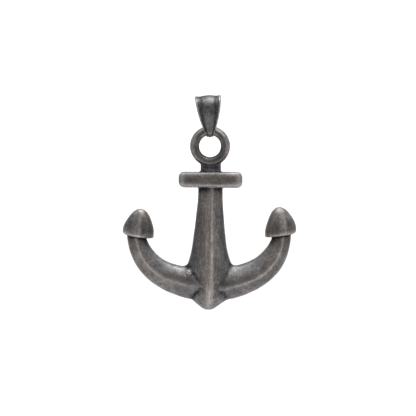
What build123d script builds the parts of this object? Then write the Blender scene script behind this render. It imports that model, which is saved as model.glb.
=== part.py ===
"""Anchor pendant in cast silver: an anchor with an eye ring, hung in a tapered bail.

Millimetres. The origin is the seat of the chain, inside the top of the bail. Up is +Z, the
front faces -Y and +X is to the right of someone who looks at the front. The back is like the front.
"""

from build123d import *
from math import cos, radians, sin, sqrt
import os

# Bail: a band folded over the chain and closed under the wire of the ring.
bail_drop = 7.05  # inside height, from the chain's seat to the ring's seat
bail_lean = 3.2  # degrees that it stands off plumb, its top to the left
bail_top_w = 4.62  # width over the lips at the top
bail_bottom_w = 1.16
bail_inside_r = 1.75  # bend over the chain
bail_sheet = 0.32  # metal in the valleys between the dome and the lips
bail_foot_t = 0.30  # metal under the ring
bail_dome = 0.24  # rise of the middle over the valleys
bail_lip = 0.20  # rise of the edges over the valleys
bail_lip_w = 0.30

# Eye ring and the neck under it.
ring_wire_d = 1.62
ring_hole_d = 4.10
ring_seat_gap = 0.17  # under the wire, at the middle of the bail's foot
ring_side_gap = 0.24  # in front of the wire and behind it
neck_w = 3.67
neck_t = 1.50
neck_l = 1.22  # from the ring's outside to the stock
neck_round = 0.35

# Stock: the bar across the top of the shank.
stock_l = 11.82
stock_h = 2.80
stock_t = 4.00
stock_corner_r = 0.93
stock_edge_r = 0.70
stock_shift = 0.10  # to the right of the hanging line

# Shank, from the stock's underside to the tip of the crown.
shank_l = 22.81
shank_top_w = 4.60
shank_t = 3.30
shank_top_shift = 0.08  # to the right of the hanging line
crown_shift = -0.12  # to the right of the hanging line, so the crown and arms stand to its left
crown_w = 9.60  # widest, inside the arms
crown_t = 4.90
shank_seat = 0.60  # how far it reaches up into the stock

# Arms: a crescent between two arcs, with a ridge along each face.
crown_drop = 2.36  # from the arms' underside to the tip of the crown
arm_root_w = 5.89
arm_outer_r = 12.45
arm_outer_offset = 2.85  # the arc's centre, to the side of the middle line
arm_inner_r = 8.00
arm_inner_offset = 4.17
arm_root_t = 3.56
arm_end_t = 2.70

# Flukes: rounded cones on the arms' ends.
fluke_w = 5.70
fluke_h = 5.13
fluke_t = 4.70
fluke_lean = 8.5  # degrees, apex towards the shank
fluke_seat_angle = 84.0  # where on the arm the base is, from straight down

# The shank, at even steps down from its seat in the stock. Each width is a share of the way from
# the top's to the crown's, and each thickness in the same way.
SHANK_SECTIONS = (
    # width, thickness
    (0.000, 0.00),
    (0.005, 0.02),
    (0.080, 0.16),
    (0.190, 0.34),
    (0.315, 0.50),
    (0.500, 0.68),
    (0.950, 0.88),
)
shank_end = 0.69  # where the crown takes over, as a share of the shank's length

# The crown, as shares of the shank's length and of the crown's width and thickness.
CROWN_SECTIONS = (
    # down, width, thickness
    (0.780, 1.000, 1.00),
    (0.860, 0.890, 0.99),
    (0.913, 0.715, 0.93),
    (0.950, 0.475, 0.76),
    (0.976, 0.310, 0.55),
    (0.993, 0.155, 0.30),
    (1.000, 0.050, 0.10),
)

# The arm, out from the crown.
ARM_SECTIONS = (
    # angle as a share of the fluke's seat, ridge as a share from the outer edge, thickness
    (-0.22, 0.37, 0.00),
    (0.00, 0.37, 0.00),
    (0.22, 0.36, 0.15),
    (0.44, 0.36, 0.35),
    (0.66, 0.38, 0.62),
    (0.86, 0.42, 0.87),
    (1.04, 0.46, 1.00),
)

# The bail's width, down from its top.
BAIL_WIDTHS = (
    # down as a share of its height, width as a share of the way from the top's to the bottom's
    (0.00, 0.000),
    (0.15, 0.050),
    (0.35, 0.200),
    (0.55, 0.410),
    (0.75, 0.680),
    (1.00, 1.000),
)

# A fluke's outline from its rim to its cap, as shares of its half width and of its height.
FLUKE_RIM = (0.84, 0.0)
FLUKE_CORNER = (0.96, 0.055)
FLUKE_BELLY = (1.0, 0.19)
FLUKE_SIDE = (0.875, 0.52)
FLUKE_CAP = (0.57, 0.81)

# How round a section is: how far in its shoulders stand, how high they are as a share of the
# half thickness, and how much its faces swell.
SHANK_FORM = {"shoulder": 0.12, "side": 0.52, "swell": 0.07}
ARM_FORM = {"shoulder": 0.14, "side": 0.50, "swell": 0.10}

# The bail's lips, as shares: the most of its half width that one takes, and its slope's width.
LIP_LIMIT = 0.3
LIP_SLOPE = 0.7

# The foot's thickness at its edges and beside them, as shares of its middle's.
FOOT_EDGE = 0.85
FOOT_VALLEY = 0.80


def between(first, last, share):
    """The value at a share of the way from one size to another."""
    return first + (last - first) * share


def read_table(table, down):
    """The share that a two-column table gives at a place between its rows."""
    for (above, start), (below, end) in zip(table, table[1:]):
        if down <= below:
            return between(start, end, (down - above) / (below - above))
    return table[-1][1]


# The bail's own directions, turned by its lean.
across = Vector(cos(radians(bail_lean)), 0, sin(radians(bail_lean)))
upward = Vector(-sin(radians(bail_lean)), 0, cos(radians(bail_lean)))

# The ring hangs in the bail: its wire's centre at the top is the line that it turns about.
wire_r = ring_wire_d / 2
bail_foot_r = wire_r + ring_side_gap
hinge = upward * (wire_r + ring_seat_gap - bail_drop)
ring_r = (ring_hole_d + ring_wire_d) / 2
ring_x = hinge.X
ring_z = hinge.Z - ring_r

stock_top_z = ring_z - ring_r - wire_r - neck_l
stock_z = stock_top_z - stock_h / 2
shank_top_z = stock_top_z - stock_h
tip_z = shank_top_z - shank_l
arm_foot_z = tip_z + crown_drop

# The arcs of the right arm, by their centres, and the point that its sections fan out from.
arm_outer_z = arm_foot_z + arm_outer_r
arm_inner_z = arm_foot_z + arm_root_w + arm_inner_r
crown_x = ring_x + crown_shift
fan_x = crown_x + (arm_outer_offset + arm_inner_offset) / 2
fan_z = arm_outer_z


def ridged_section(plane, near, far, ridge, thickness, shoulder, side, swell):
    """One section of a shank or arm: two rounded sides, and a ridge along each face.

    near, far and ridge are places along the section's x. The shoulders are a share of the
    way in from the sides, and a share of the half thickness high.
    """
    top = thickness / 2
    near_x, far_x = between(near, ridge, shoulder), between(far, ridge, shoulder)
    near_mid, far_mid = (near_x + ridge) / 2, (far_x + ridge) / 2
    mid_y = top * ((side + 1) / 2 + swell)
    with BuildSketch(plane) as section:
        with BuildLine():
            ThreePointArc((near_x, -side * top), (near, 0), (near_x, side * top))
            ThreePointArc((near_x, side * top), (near_mid, mid_y), (ridge, top))
            ThreePointArc((ridge, top), (far_mid, mid_y), (far_x, side * top))
            ThreePointArc((far_x, side * top), (far, 0), (far_x, -side * top))
            ThreePointArc((far_x, -side * top), (far_mid, -mid_y), (ridge, -top))
            ThreePointArc((ridge, -top), (near_mid, -mid_y), (near_x, -side * top))
        make_face()
    return section.sketch


# Eye ring and neck.
with BuildPart() as ring:
    with Locations(Location((ring_x, 0, ring_z), (90, 0, 0))):
        Torus(ring_r, wire_r)
    with BuildSketch(Plane.XY.offset(ring_z - ring_r)):
        with Locations((ring_x + stock_shift, 0)):
            RectangleRounded(neck_w, neck_t, neck_round)
    extrude(amount=-(wire_r + neck_l + stock_h / 2))

# Stock: a bar with round corners and soft edges on both faces.
with BuildPart() as stock:
    with BuildSketch(Plane.XZ.offset(-stock_t / 2)):
        with Locations((ring_x + stock_shift, stock_z)):
            RectangleRounded(stock_l, stock_h, stock_corner_r)
    extrude(amount=stock_t)
    fillet(stock.faces().filter_by(Axis.Y).edges(), stock_edge_r)


def shank_section(down, width, thickness):
    """A section of the shank or crown at a share of its length down from the stock."""
    x = ring_x + between(shank_top_shift, crown_shift, down)
    plane = Plane(origin=(x, 0, shank_top_z - shank_l * down))
    return ridged_section(plane, -width / 2, width / 2, 0, thickness, **SHANK_FORM)


# Shank, and the crown that goes on from its last section.
with BuildPart() as shank:
    seat_share = -shank_seat / shank_l
    sections = []
    for step, (width, thickness) in enumerate(SHANK_SECTIONS):
        sections.append(shank_section(
            between(seat_share, shank_end, step / (len(SHANK_SECTIONS) - 1)),
            between(shank_top_w, crown_w, width), between(shank_t, crown_t, thickness)))
    loft(sections)
    sections = [sections[-1]]
    for down, width, thickness in CROWN_SECTIONS:
        sections.append(shank_section(down, crown_w * width, crown_t * thickness))
    loft(sections, ruled=True)


def along_ray(centre_x, centre_z, radius, angle):
    """How far from the fan's point a ray meets an arc. The angle is from straight down."""
    ray_x, ray_z = sin(radians(angle)), -cos(radians(angle))
    to_x, to_z = fan_x - centre_x, fan_z - centre_z
    half_b = ray_x * to_x + ray_z * to_z
    return -half_b + sqrt(half_b**2 - (to_x**2 + to_z**2 - radius**2))


def arm_reach(angle):
    """The arm's inner and outer edges on a ray, as distances from the fan's point."""
    inner = along_ray(crown_x + arm_inner_offset, arm_inner_z, arm_inner_r, angle)
    outer = along_ray(crown_x + arm_outer_offset, arm_outer_z, arm_outer_r, angle)
    return inner, outer


# One arm, from inside the crown to inside its fluke.
with BuildPart() as arm:
    sections = []
    for share, ridge, thickness in ARM_SECTIONS:
        angle = share * fluke_seat_angle
        inner, outer = arm_reach(angle)
        ray = Vector(sin(radians(angle)), 0, -cos(radians(angle)))
        plane = Plane(origin=(fan_x, 0, fan_z), x_dir=ray, z_dir=ray.cross(Vector(0, 1, 0)))
        sections.append(ridged_section(
            plane, inner, outer, between(outer, inner, ridge),
            between(arm_root_t, arm_end_t, thickness), **ARM_FORM))
    loft(sections)

# One fluke: a cone with full sides and a round apex, a little flatter from front to back.
seat_inner, seat_outer = arm_reach(fluke_seat_angle)
seat_reach = (seat_inner + seat_outer) / 2
fluke_x = fan_x + seat_reach * sin(radians(fluke_seat_angle))
fluke_z = fan_z - seat_reach * cos(radians(fluke_seat_angle))
fluke_up = Vector(-sin(radians(fluke_lean)), 0, cos(radians(fluke_lean)))
fluke_plane = Plane(origin=(fluke_x, 0, fluke_z), x_dir=fluke_up.cross(Vector(0, -1, 0)),
                    z_dir=(0, -1, 0))


def fluke_point(shares):
    """A point of the fluke's outline, in millimetres on its plane."""
    return shares[0] * fluke_w / 2, shares[1] * fluke_h


with BuildPart() as fluke:
    with BuildSketch(fluke_plane):
        with BuildLine():
            Line((0, 0), fluke_point(FLUKE_RIM))
            ThreePointArc(fluke_point(FLUKE_RIM), fluke_point(FLUKE_CORNER), fluke_point(FLUKE_BELLY))
            ThreePointArc(fluke_point(FLUKE_BELLY), fluke_point(FLUKE_SIDE), fluke_point(FLUKE_CAP))
            TangentArc((0, fluke_h), fluke_point(FLUKE_CAP), tangent=(1, 0))
            Line((0, fluke_h), (0, 0))
        make_face()
    revolve(axis=Axis((fluke_x, 0, fluke_z), fluke_up))
    scale(by=(1, fluke_t / fluke_w, 1))

# The anchor is one casting.
with BuildPart() as anchor:
    add(ring.part)
    add(stock.part)
    add(shank.part)
    add(arm.part)
    add(fluke.part)
    mirrored = mirror([arm.part, fluke.part], about=Plane.YZ.offset(crown_x), mode=Mode.PRIVATE)
    add(mirrored)
anchor.part.label = "anchor"


def bail_section(y, z, turn, down):
    """One section of the band at a place on its inside line.

    turn is the direction that the band faces there, in degrees from straight up towards the
    front, and down is the share of its height below the top.
    """
    share = read_table(BAIL_WIDTHS, down)
    half = between(bail_top_w, bail_bottom_w, share) / 2
    lip_w = min(bail_lip_w, LIP_LIMIT * half)
    valley = between(bail_sheet, FOOT_VALLEY * bail_foot_t, share)
    dome = between(bail_sheet + bail_dome, bail_foot_t, share)
    lip = between(bail_sheet + bail_lip, FOOT_EDGE * bail_foot_t, share)
    outward = upward * cos(radians(turn)) + Vector(0, -1, 0) * sin(radians(turn))
    origin = upward * z + Vector(0, y, 0)
    plane = Plane(origin=origin, x_dir=across, z_dir=across.cross(outward))
    groove = half - lip_w * (1 + LIP_SLOPE)
    with BuildSketch(plane) as section:
        with BuildLine():
            Line((-half, 0), (-half, lip))
            Line((-half, lip), (lip_w - half, lip))
            Line((lip_w - half, lip), (-groove, valley))
            ThreePointArc((-groove, valley), (0, dome), (groove, valley))
            Line((groove, valley), (half - lip_w, lip))
            Line((half - lip_w, lip), (half, lip))
            Line((half, lip), (half, 0))
            Line((half, 0), (-half, 0))
        make_face()
    return section.sketch


# The front leg of the bail runs straight between its two bends, at this angle off plumb.
bend_gap = bail_drop - bail_inside_r - bail_foot_r
leg_turn = 90 + Vector(bend_gap, 0).get_angle(
    Vector(sqrt(bend_gap**2 - (bail_inside_r - bail_foot_r) ** 2), bail_inside_r - bail_foot_r))

# Bail: the front half from the chain's seat to the foot, and the same behind.
with BuildPart() as bail:
    sections = []
    for turn in (0, leg_turn / 3, leg_turn * 2 / 3, leg_turn):
        y = -bail_inside_r * sin(radians(turn))
        z = -bail_inside_r * (1 - cos(radians(turn)))
        sections.append(bail_section(y, z, turn, -z / bail_drop))
    leg_top = (y, z)
    leg_end = (-bail_foot_r * sin(radians(leg_turn)),
               bail_foot_r * (1 + cos(radians(leg_turn))) - bail_drop)
    for share in (0.33, 0.67):
        y, z = between(leg_top[0], leg_end[0], share), between(leg_top[1], leg_end[1], share)
        sections.append(bail_section(y, z, leg_turn, -z / bail_drop))
    for turn in (leg_turn, between(leg_turn, 180, 0.33), between(leg_turn, 180, 0.67), 180):
        y = -bail_foot_r * sin(radians(turn))
        z = bail_foot_r * (1 + cos(radians(turn))) - bail_drop
        sections.append(bail_section(y, z, turn, -z / bail_drop))
    loft(sections)
    mirror(about=Plane.XZ)
bail.part.label = "bail"

os.makedirs("parts", exist_ok=True)
export_step(anchor.part, "parts/anchor.step")
export_step(bail.part, "parts/bail.step")
print(f"hinge at x {hinge.X:.4f}, z {hinge.Z:.4f}")
print(f"volume of the anchor {anchor.part.volume:.1f}, of the bail {bail.part.volume:.1f}")
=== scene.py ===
"""Anchor pendant in darkened cast silver, hung by a tapered bail in a plain pale studio.

The pieces are modelled in millimetres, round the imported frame, and brought to metres when they
are finished. Up is +Z, the front faces -Y and +X is to the right of someone who looks at it.
"""

import logging
import math
from dataclasses import dataclass, field
from enum import Enum
from typing import Callable, Sequence

import bmesh
import bpy
import numpy as np
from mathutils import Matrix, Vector

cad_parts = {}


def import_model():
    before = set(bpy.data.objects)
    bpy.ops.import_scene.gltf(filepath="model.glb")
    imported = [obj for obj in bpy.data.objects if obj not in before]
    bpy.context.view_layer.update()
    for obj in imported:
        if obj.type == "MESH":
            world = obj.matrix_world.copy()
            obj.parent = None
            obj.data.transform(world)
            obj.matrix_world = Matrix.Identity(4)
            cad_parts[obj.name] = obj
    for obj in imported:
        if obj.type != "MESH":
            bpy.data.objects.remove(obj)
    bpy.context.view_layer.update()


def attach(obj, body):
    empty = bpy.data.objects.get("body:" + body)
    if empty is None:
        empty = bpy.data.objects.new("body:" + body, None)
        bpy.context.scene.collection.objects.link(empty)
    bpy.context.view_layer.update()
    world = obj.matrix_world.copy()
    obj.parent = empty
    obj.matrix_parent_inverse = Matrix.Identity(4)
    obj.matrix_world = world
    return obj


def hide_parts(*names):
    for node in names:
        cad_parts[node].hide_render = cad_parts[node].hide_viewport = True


log = logging.getLogger("anchor_pendant")

MM = 0.001  # metres in a millimetre
TINY = 1e-3  # millimetres, for telling places apart
ORIGIN = (0.0, 0.0, 0.0)
UPRIGHT = (math.pi / 2, 0.0, 0.0)  # a turn that stands a flat form up and levels a camera


class Side(Enum):
    """Which side of the shank a form is on, as the sign of its x."""

    LEFT = -1
    RIGHT = 1


# Work at the bench: small steps that every piece is made with.


def put_down() -> None:
    """Leave edit mode and deselect everything."""
    if bpy.context.object and bpy.context.object.mode != "OBJECT":
        bpy.ops.object.mode_set(mode="OBJECT")
    bpy.ops.object.select_all(action="DESELECT")


def pick_up(piece: bpy.types.Object) -> None:
    """Make a piece the only one selected, and the active one.

    Args:
        piece: the object to work on.
    """
    put_down()
    piece.select_set(True)
    bpy.context.view_layer.objects.active = piece


def start_editing(piece: bpy.types.Object, elements: str = "VERT") -> None:
    """Open a piece in edit mode with nothing selected.

    Args:
        piece: the object to edit.
        elements: VERT, EDGE or FACE.
    """
    pick_up(piece)
    bpy.ops.object.mode_set(mode="EDIT")
    bpy.ops.mesh.select_mode(type=elements)
    bpy.ops.mesh.select_all(action="DESELECT")


def choose_corners(piece: bpy.types.Object, wanted: Callable[[Vector], bool]) -> None:
    """Select the corners of a piece in edit mode by where they are.

    Args:
        piece: the object in edit mode.
        wanted: says of a corner's place whether it is selected.
    """
    mesh = bmesh.from_edit_mesh(piece.data)
    for corner in mesh.verts:
        corner.select = wanted(corner.co)
    mesh.select_flush_mode()
    bmesh.update_edit_mesh(piece.data)


def choose_edges(piece: bpy.types.Object, wanted: Callable[[Vector, Vector], bool]) -> None:
    """Select the edges of a piece in edit mode by where they run.

    Args:
        piece: the object in edit mode.
        wanted: says of an edge's middle and direction whether it is selected.
    """
    mesh = bmesh.from_edit_mesh(piece.data)
    for edge in mesh.edges:
        first, last = (corner.co for corner in edge.verts)
        edge.select = wanted((first + last) / 2, (last - first).normalized())
    bmesh.update_edit_mesh(piece.data)


def choose_faces(piece: bpy.types.Object, wanted: Callable[[Vector, Vector], bool]) -> None:
    """Select the faces of a piece in edit mode by where they are and which way they face.

    Args:
        piece: the object in edit mode.
        wanted: says of a face's middle and normal whether it is selected.
    """
    mesh = bmesh.from_edit_mesh(piece.data)
    for face in mesh.faces:
        face.select = wanted(face.calc_center_median(), face.normal)
    bmesh.update_edit_mesh(piece.data)


def modify(piece: bpy.types.Object, kind: str, **settings: object) -> None:
    """Put a modifier on a piece and apply it.

    Args:
        piece: the object to change.
        kind: the modifier's type.
        **settings: values of the modifier.
    """
    pick_up(piece)
    modifier = piece.modifiers.new(kind.title(), kind)
    for key, value in settings.items():
        setattr(modifier, key, value)
    bpy.ops.object.modifier_apply(modifier=modifier.name)


def join(name: str, forms: list[bpy.types.Object]) -> bpy.types.Object:
    """Join several forms into one object.

    Args:
        name: the name of the joined piece.
        forms: the objects to join, in order.

    Returns:
        The joined object.
    """
    pick_up(forms[0])
    for form in forms[1:]:
        form.select_set(True)
    bpy.ops.object.join()
    forms[0].name = forms[0].data.name = name
    return forms[0]


def turn_outwards(piece: bpy.types.Object) -> None:
    """Make all the faces of a piece point outwards.

    Args:
        piece: the object to put right.
    """
    start_editing(piece)
    bpy.ops.mesh.select_all(action="SELECT")
    bpy.ops.mesh.normals_make_consistent(inside=False)
    put_down()


def settle(piece: bpy.types.Object) -> None:
    """Put an object's place, turn and size into its mesh.

    Args:
        piece: the object to settle.
    """
    pick_up(piece)
    bpy.ops.object.transform_apply(location=True, rotation=True, scale=True)


def start_from(primitive: Callable, **settings: object) -> bpy.types.Object:
    """Start a form from a primitive, with its place, turn and size in its mesh.

    Args:
        primitive: the operator that adds it.
        **settings: the operator's settings.

    Returns:
        The new object.
    """
    put_down()
    primitive(**settings)
    form = bpy.context.object
    settle(form)
    return form


def rotate(degrees: float, centre: Sequence[float], axis: str = "Y") -> None:
    """Turn what is selected in edit mode round a place."""
    bpy.ops.transform.rotate(value=math.radians(degrees), orient_axis=axis,
                             center_override=centre)


def resize(shares: Sequence[float], centre: Sequence[float], **settings: object) -> None:
    """Resize what is selected in edit mode along x, y and z, round a place."""
    bpy.ops.transform.resize(value=shares, center_override=centre, **settings)


def bring_to_size(piece: bpy.types.Object) -> None:
    """Bring a finished piece from millimetres to metres, with its place in its mesh.

    Args:
        piece: the object to finish.
    """
    settle(piece)
    piece.scale = (MM, MM, MM)
    settle(piece)
    bpy.ops.object.shade_smooth()
    put_down()


def read_table(table: Sequence[tuple[float, float]], at: float) -> float:
    """Read a table of two columns between its rows.

    Args:
        table: rows of a place and the value there, with the places rising.
        at: the place to read.

    Returns:
        The value there.
    """
    return float(read_column(table, at))


def read_column(table: Sequence[Sequence[float]], at: float | np.ndarray,
                column: int = 1) -> float | np.ndarray:
    """Read one column of a table between its rows.

    Args:
        table: rows of a place and the values there, with the places rising.
        at: the place or places to read.
        column: which number of each row is read.

    Returns:
        The value at each place.
    """
    rows = np.array(table)
    return np.interp(at, rows[:, 0], rows[:, column])


def places_of(piece: bpy.types.Object) -> np.ndarray:
    """The places of a mesh's corners, one row each."""
    places = np.empty(len(piece.data.vertices) * 3, dtype=np.float32)
    piece.data.vertices.foreach_get("co", places)
    return places.reshape(-1, 3)


def normals_of(piece: bpy.types.Object) -> np.ndarray:
    """Which way the skin faces at a mesh's corners, one row each."""
    normals = np.empty(len(piece.data.vertices) * 3, dtype=np.float32)
    piece.data.vertices.foreach_get("normal", normals)
    return normals.reshape(-1, 3)


def relief(piece: bpy.types.Object, passes: int) -> np.ndarray:
    """How far each corner stands out of the same form worn smooth, in millimetres.

    Args:
        piece: the finished form.
        passes: how long the worn copy is smoothed.

    Returns:
        One height for each corner, less than zero in a hollow.
    """
    pick_up(piece)
    bpy.ops.object.duplicate()
    worn = bpy.context.object
    modify(worn, "SMOOTH", factor=0.5, iterations=passes)
    heights = ((places_of(piece) - places_of(worn)) * normals_of(piece)).sum(axis=1)
    bpy.data.objects.remove(worn)
    return heights


def keep_values(piece: bpy.types.Object, name: str, values: np.ndarray) -> None:
    """Keep one number for each corner of a piece, for its material to read.

    Args:
        piece: the object.
        name: what the numbers are called.
        values: one for each corner.
    """
    layer = piece.data.attributes.new(name, "FLOAT", "POINT")
    layer.data.foreach_set("value", values.astype(np.float32))


def keep_relief(piece: bpy.types.Object, name: str, passes: int, full: float,
                limits: tuple[float, float]) -> None:
    """Keep how far each corner of a piece stands out, for its material to read.

    Args:
        piece: the finished form.
        name: what the numbers are called.
        passes: how long the copy is smoothed that the form is measured against.
        full: the height that counts as one, in millimetres.
        limits: the least and the most that is kept.
    """
    keep_values(piece, name, np.clip(relief(piece, passes) / full, *limits))


@dataclass(frozen=True)
class Patch:
    """A soft patch where the finish is lighter or darker, in millimetres: patina left or rubbed
    off by hand, and also painted highlights and painted shade.

    Attributes:
        place: its middle.
        reach: how far it goes along x, y and z.
        amount: lighter above zero, darker below.
    """

    place: tuple[float, float, float]
    reach: tuple[float, float, float]
    amount: float

    def felt_at(self, places: np.ndarray) -> np.ndarray:
        """How much of it each of some places gets."""
        away = (places - np.array(self.place)) / np.array(self.reach)
        return self.amount * np.exp(-(away ** 2).sum(axis=1))


@dataclass(frozen=True)
class Seam:
    """A line in the plane of the front that is lighter or darker, in millimetres: patina that
    stayed or is rubbed, and also painted highlights and painted shade.

    Attributes:
        points: the x and z of its corners.
        reach: how wide it is to either side.
        amount: lighter above zero, darker below.
    """

    points: tuple[tuple[float, float], ...]
    reach: float
    amount: float

    def felt_at(self, places: np.ndarray) -> np.ndarray:
        """How much of it each of some places gets."""
        flat = places[:, (0, 2)]
        nearest = np.full(len(flat), np.inf)
        for start, end in zip(np.array(self.points), np.array(self.points[1:])):
            run = end - start
            share = np.clip(((flat - start) @ run) / (run @ run), 0.0, 1.0)
            away = np.linalg.norm(flat - start - share[:, None] * run, axis=1)
            nearest = np.minimum(nearest, away)
        return self.amount * np.exp(-(nearest / self.reach) ** 2)


@dataclass(frozen=True)
class Band:
    """A soft band where the finish changes, by how far something is from a line.

    Attributes:
        middle: how far from the line its middle is.
        reach: how wide it is to either side.
        amount: how much it changes the finish.
    """

    middle: float
    reach: float
    amount: float = 1.0

    def felt_at(self, away: np.ndarray) -> np.ndarray:
        """How much of it is felt at some distances from the line."""
        return self.amount * np.exp(-((away - self.middle) / self.reach) ** 2)


@dataclass(frozen=True)
class Fade:
    """A soft edge that the finish changes at, by how far something is from a line.

    Attributes:
        start: how far from the line it starts.
        run: how much further out it is felt in full, less than zero if that is further in.
        amount: how much it changes the finish.
    """

    start: float
    run: float
    amount: float = 1.0

    def felt_at(self, away: np.ndarray) -> np.ndarray:
        """How much of it is felt at some distances from the line."""
        return self.amount * np.clip((away - self.start) / self.run, 0.0, 1.0)


def patches_in(table: Sequence[Sequence[float]]) -> list[Patch]:
    """The patches of a table with rows of a place, a reach along x, y and z and an amount."""
    return [Patch(row[:3], row[3:6], row[6]) for row in table]


def felt_together(marks: Sequence[Patch | Seam], places: np.ndarray) -> np.ndarray:
    """How much each of some places gets of several marks together."""
    return sum(mark.felt_at(places) for mark in marks)


# Finishes.


@dataclass
class Bench:
    """A material's node tree, with short ways to add nodes and to join them.

    Attributes:
        tree: the node tree.
    """

    tree: bpy.types.NodeTree

    def add(self, kind: str, inputs: dict | None = None, **settings: object) -> bpy.types.Node:
        """Add a node, and set or link its inputs.

        Args:
            kind: the node's type, without its first word.
            inputs: a value or a socket for each named input.
            **settings: values of the node itself.

        Returns:
            The new node.
        """
        node = self.tree.nodes.new("ShaderNode" + kind)
        for key, value in settings.items():
            setattr(node, key, value)
        self.feed(node, inputs or {})
        return node

    def feed(self, node: bpy.types.Node, inputs: dict) -> None:
        """Set or link the inputs of a node.

        Args:
            node: the node.
            inputs: a value or a socket for each named input.
        """
        for key, value in inputs.items():
            if isinstance(value, bpy.types.NodeSocket):
                self.tree.links.new(value, node.inputs[key])
            else:
                node.inputs[key].default_value = value

    def calc(self, operation: str, *values: object) -> bpy.types.NodeSocket:
        """Work out a number from one, two or three values."""
        return self.add("Math", dict(enumerate(values)), operation=operation).outputs[0]

    def centred(self, value: object) -> bpy.types.NodeSocket:
        """Bring a value from between 0 and 1 to between -0.5 and 0.5."""
        return self.calc("SUBTRACT", value, 0.5)

    def total(self, *parts: tuple[object, float]) -> bpy.types.NodeSocket:
        """Add up several values, each times its weight."""
        result: object = 0.0
        for value, weight in parts:
            result = self.calc("MULTIPLY_ADD", value, weight, result)
        return result

    def span(self, value: object, low: float, high: float) -> bpy.types.NodeSocket:
        """Bring a value between two limits to 0 to 1, with soft ends."""
        inputs = {"Value": value, "From Min": low, "From Max": high}
        return self.add("MapRange", inputs, interpolation_type="SMOOTHSTEP").outputs["Result"]

    def kept(self, name: str) -> bpy.types.NodeSocket:
        """A number kept on the mesh."""
        return self.add("Attribute", attribute_name=name).outputs["Fac"]

    def noise(self, place: object, size: float, detail: float = 3.0, rough: float = 0.55,
              stretch: tuple[float, float, float] = (1.0, 1.0, 1.0)) -> bpy.types.NodeSocket:
        """Even noise whose blotches are about a given size.

        Args:
            place: the socket with the places.
            size: how large its blotches are, in millimetres.
            detail: how many finer layers it has.
            rough: how strong the finer layers are.
            stretch: how much longer it is along x, y and z.

        Returns:
            The noise, from 0 to 1.
        """
        scale = tuple(1.0 / (size * MM * part) for part in stretch)
        turned = self.add("Mapping", {"Vector": place, "Scale": scale}).outputs[0]
        inputs = {"Vector": turned, "Scale": 1.0, "Detail": detail, "Roughness": rough}
        return self.add("TexNoise", inputs).outputs["Fac"]

    def ramp(self, value: object, stops: Sequence[tuple[float, tuple]]) -> bpy.types.NodeSocket:
        """Turn a number into a colour.

        Args:
            value: the number.
            stops: a place and a colour of red, green and blue each.

        Returns:
            The colour.
        """
        node = self.add("ValToRGB", {"Fac": value})
        node.color_ramp.interpolation = "EASE" if len(stops) < 3 else "LINEAR"
        while len(node.color_ramp.elements) < len(stops):
            node.color_ramp.elements.new(1.0)
        for element, (place, colour) in zip(node.color_ramp.elements, stops):
            element.position, element.color = place, (*colour, 1.0)
        return node.outputs["Color"]


def start_finish(name: str) -> tuple[bpy.types.Material, Bench]:
    """Start a material that has a node tree.

    Args:
        name: its name.

    Returns:
        The material, and the bench for its nodes.
    """
    finish = bpy.data.materials.new(name)
    finish.use_nodes = True
    return finish, Bench(finish.node_tree)


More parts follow.
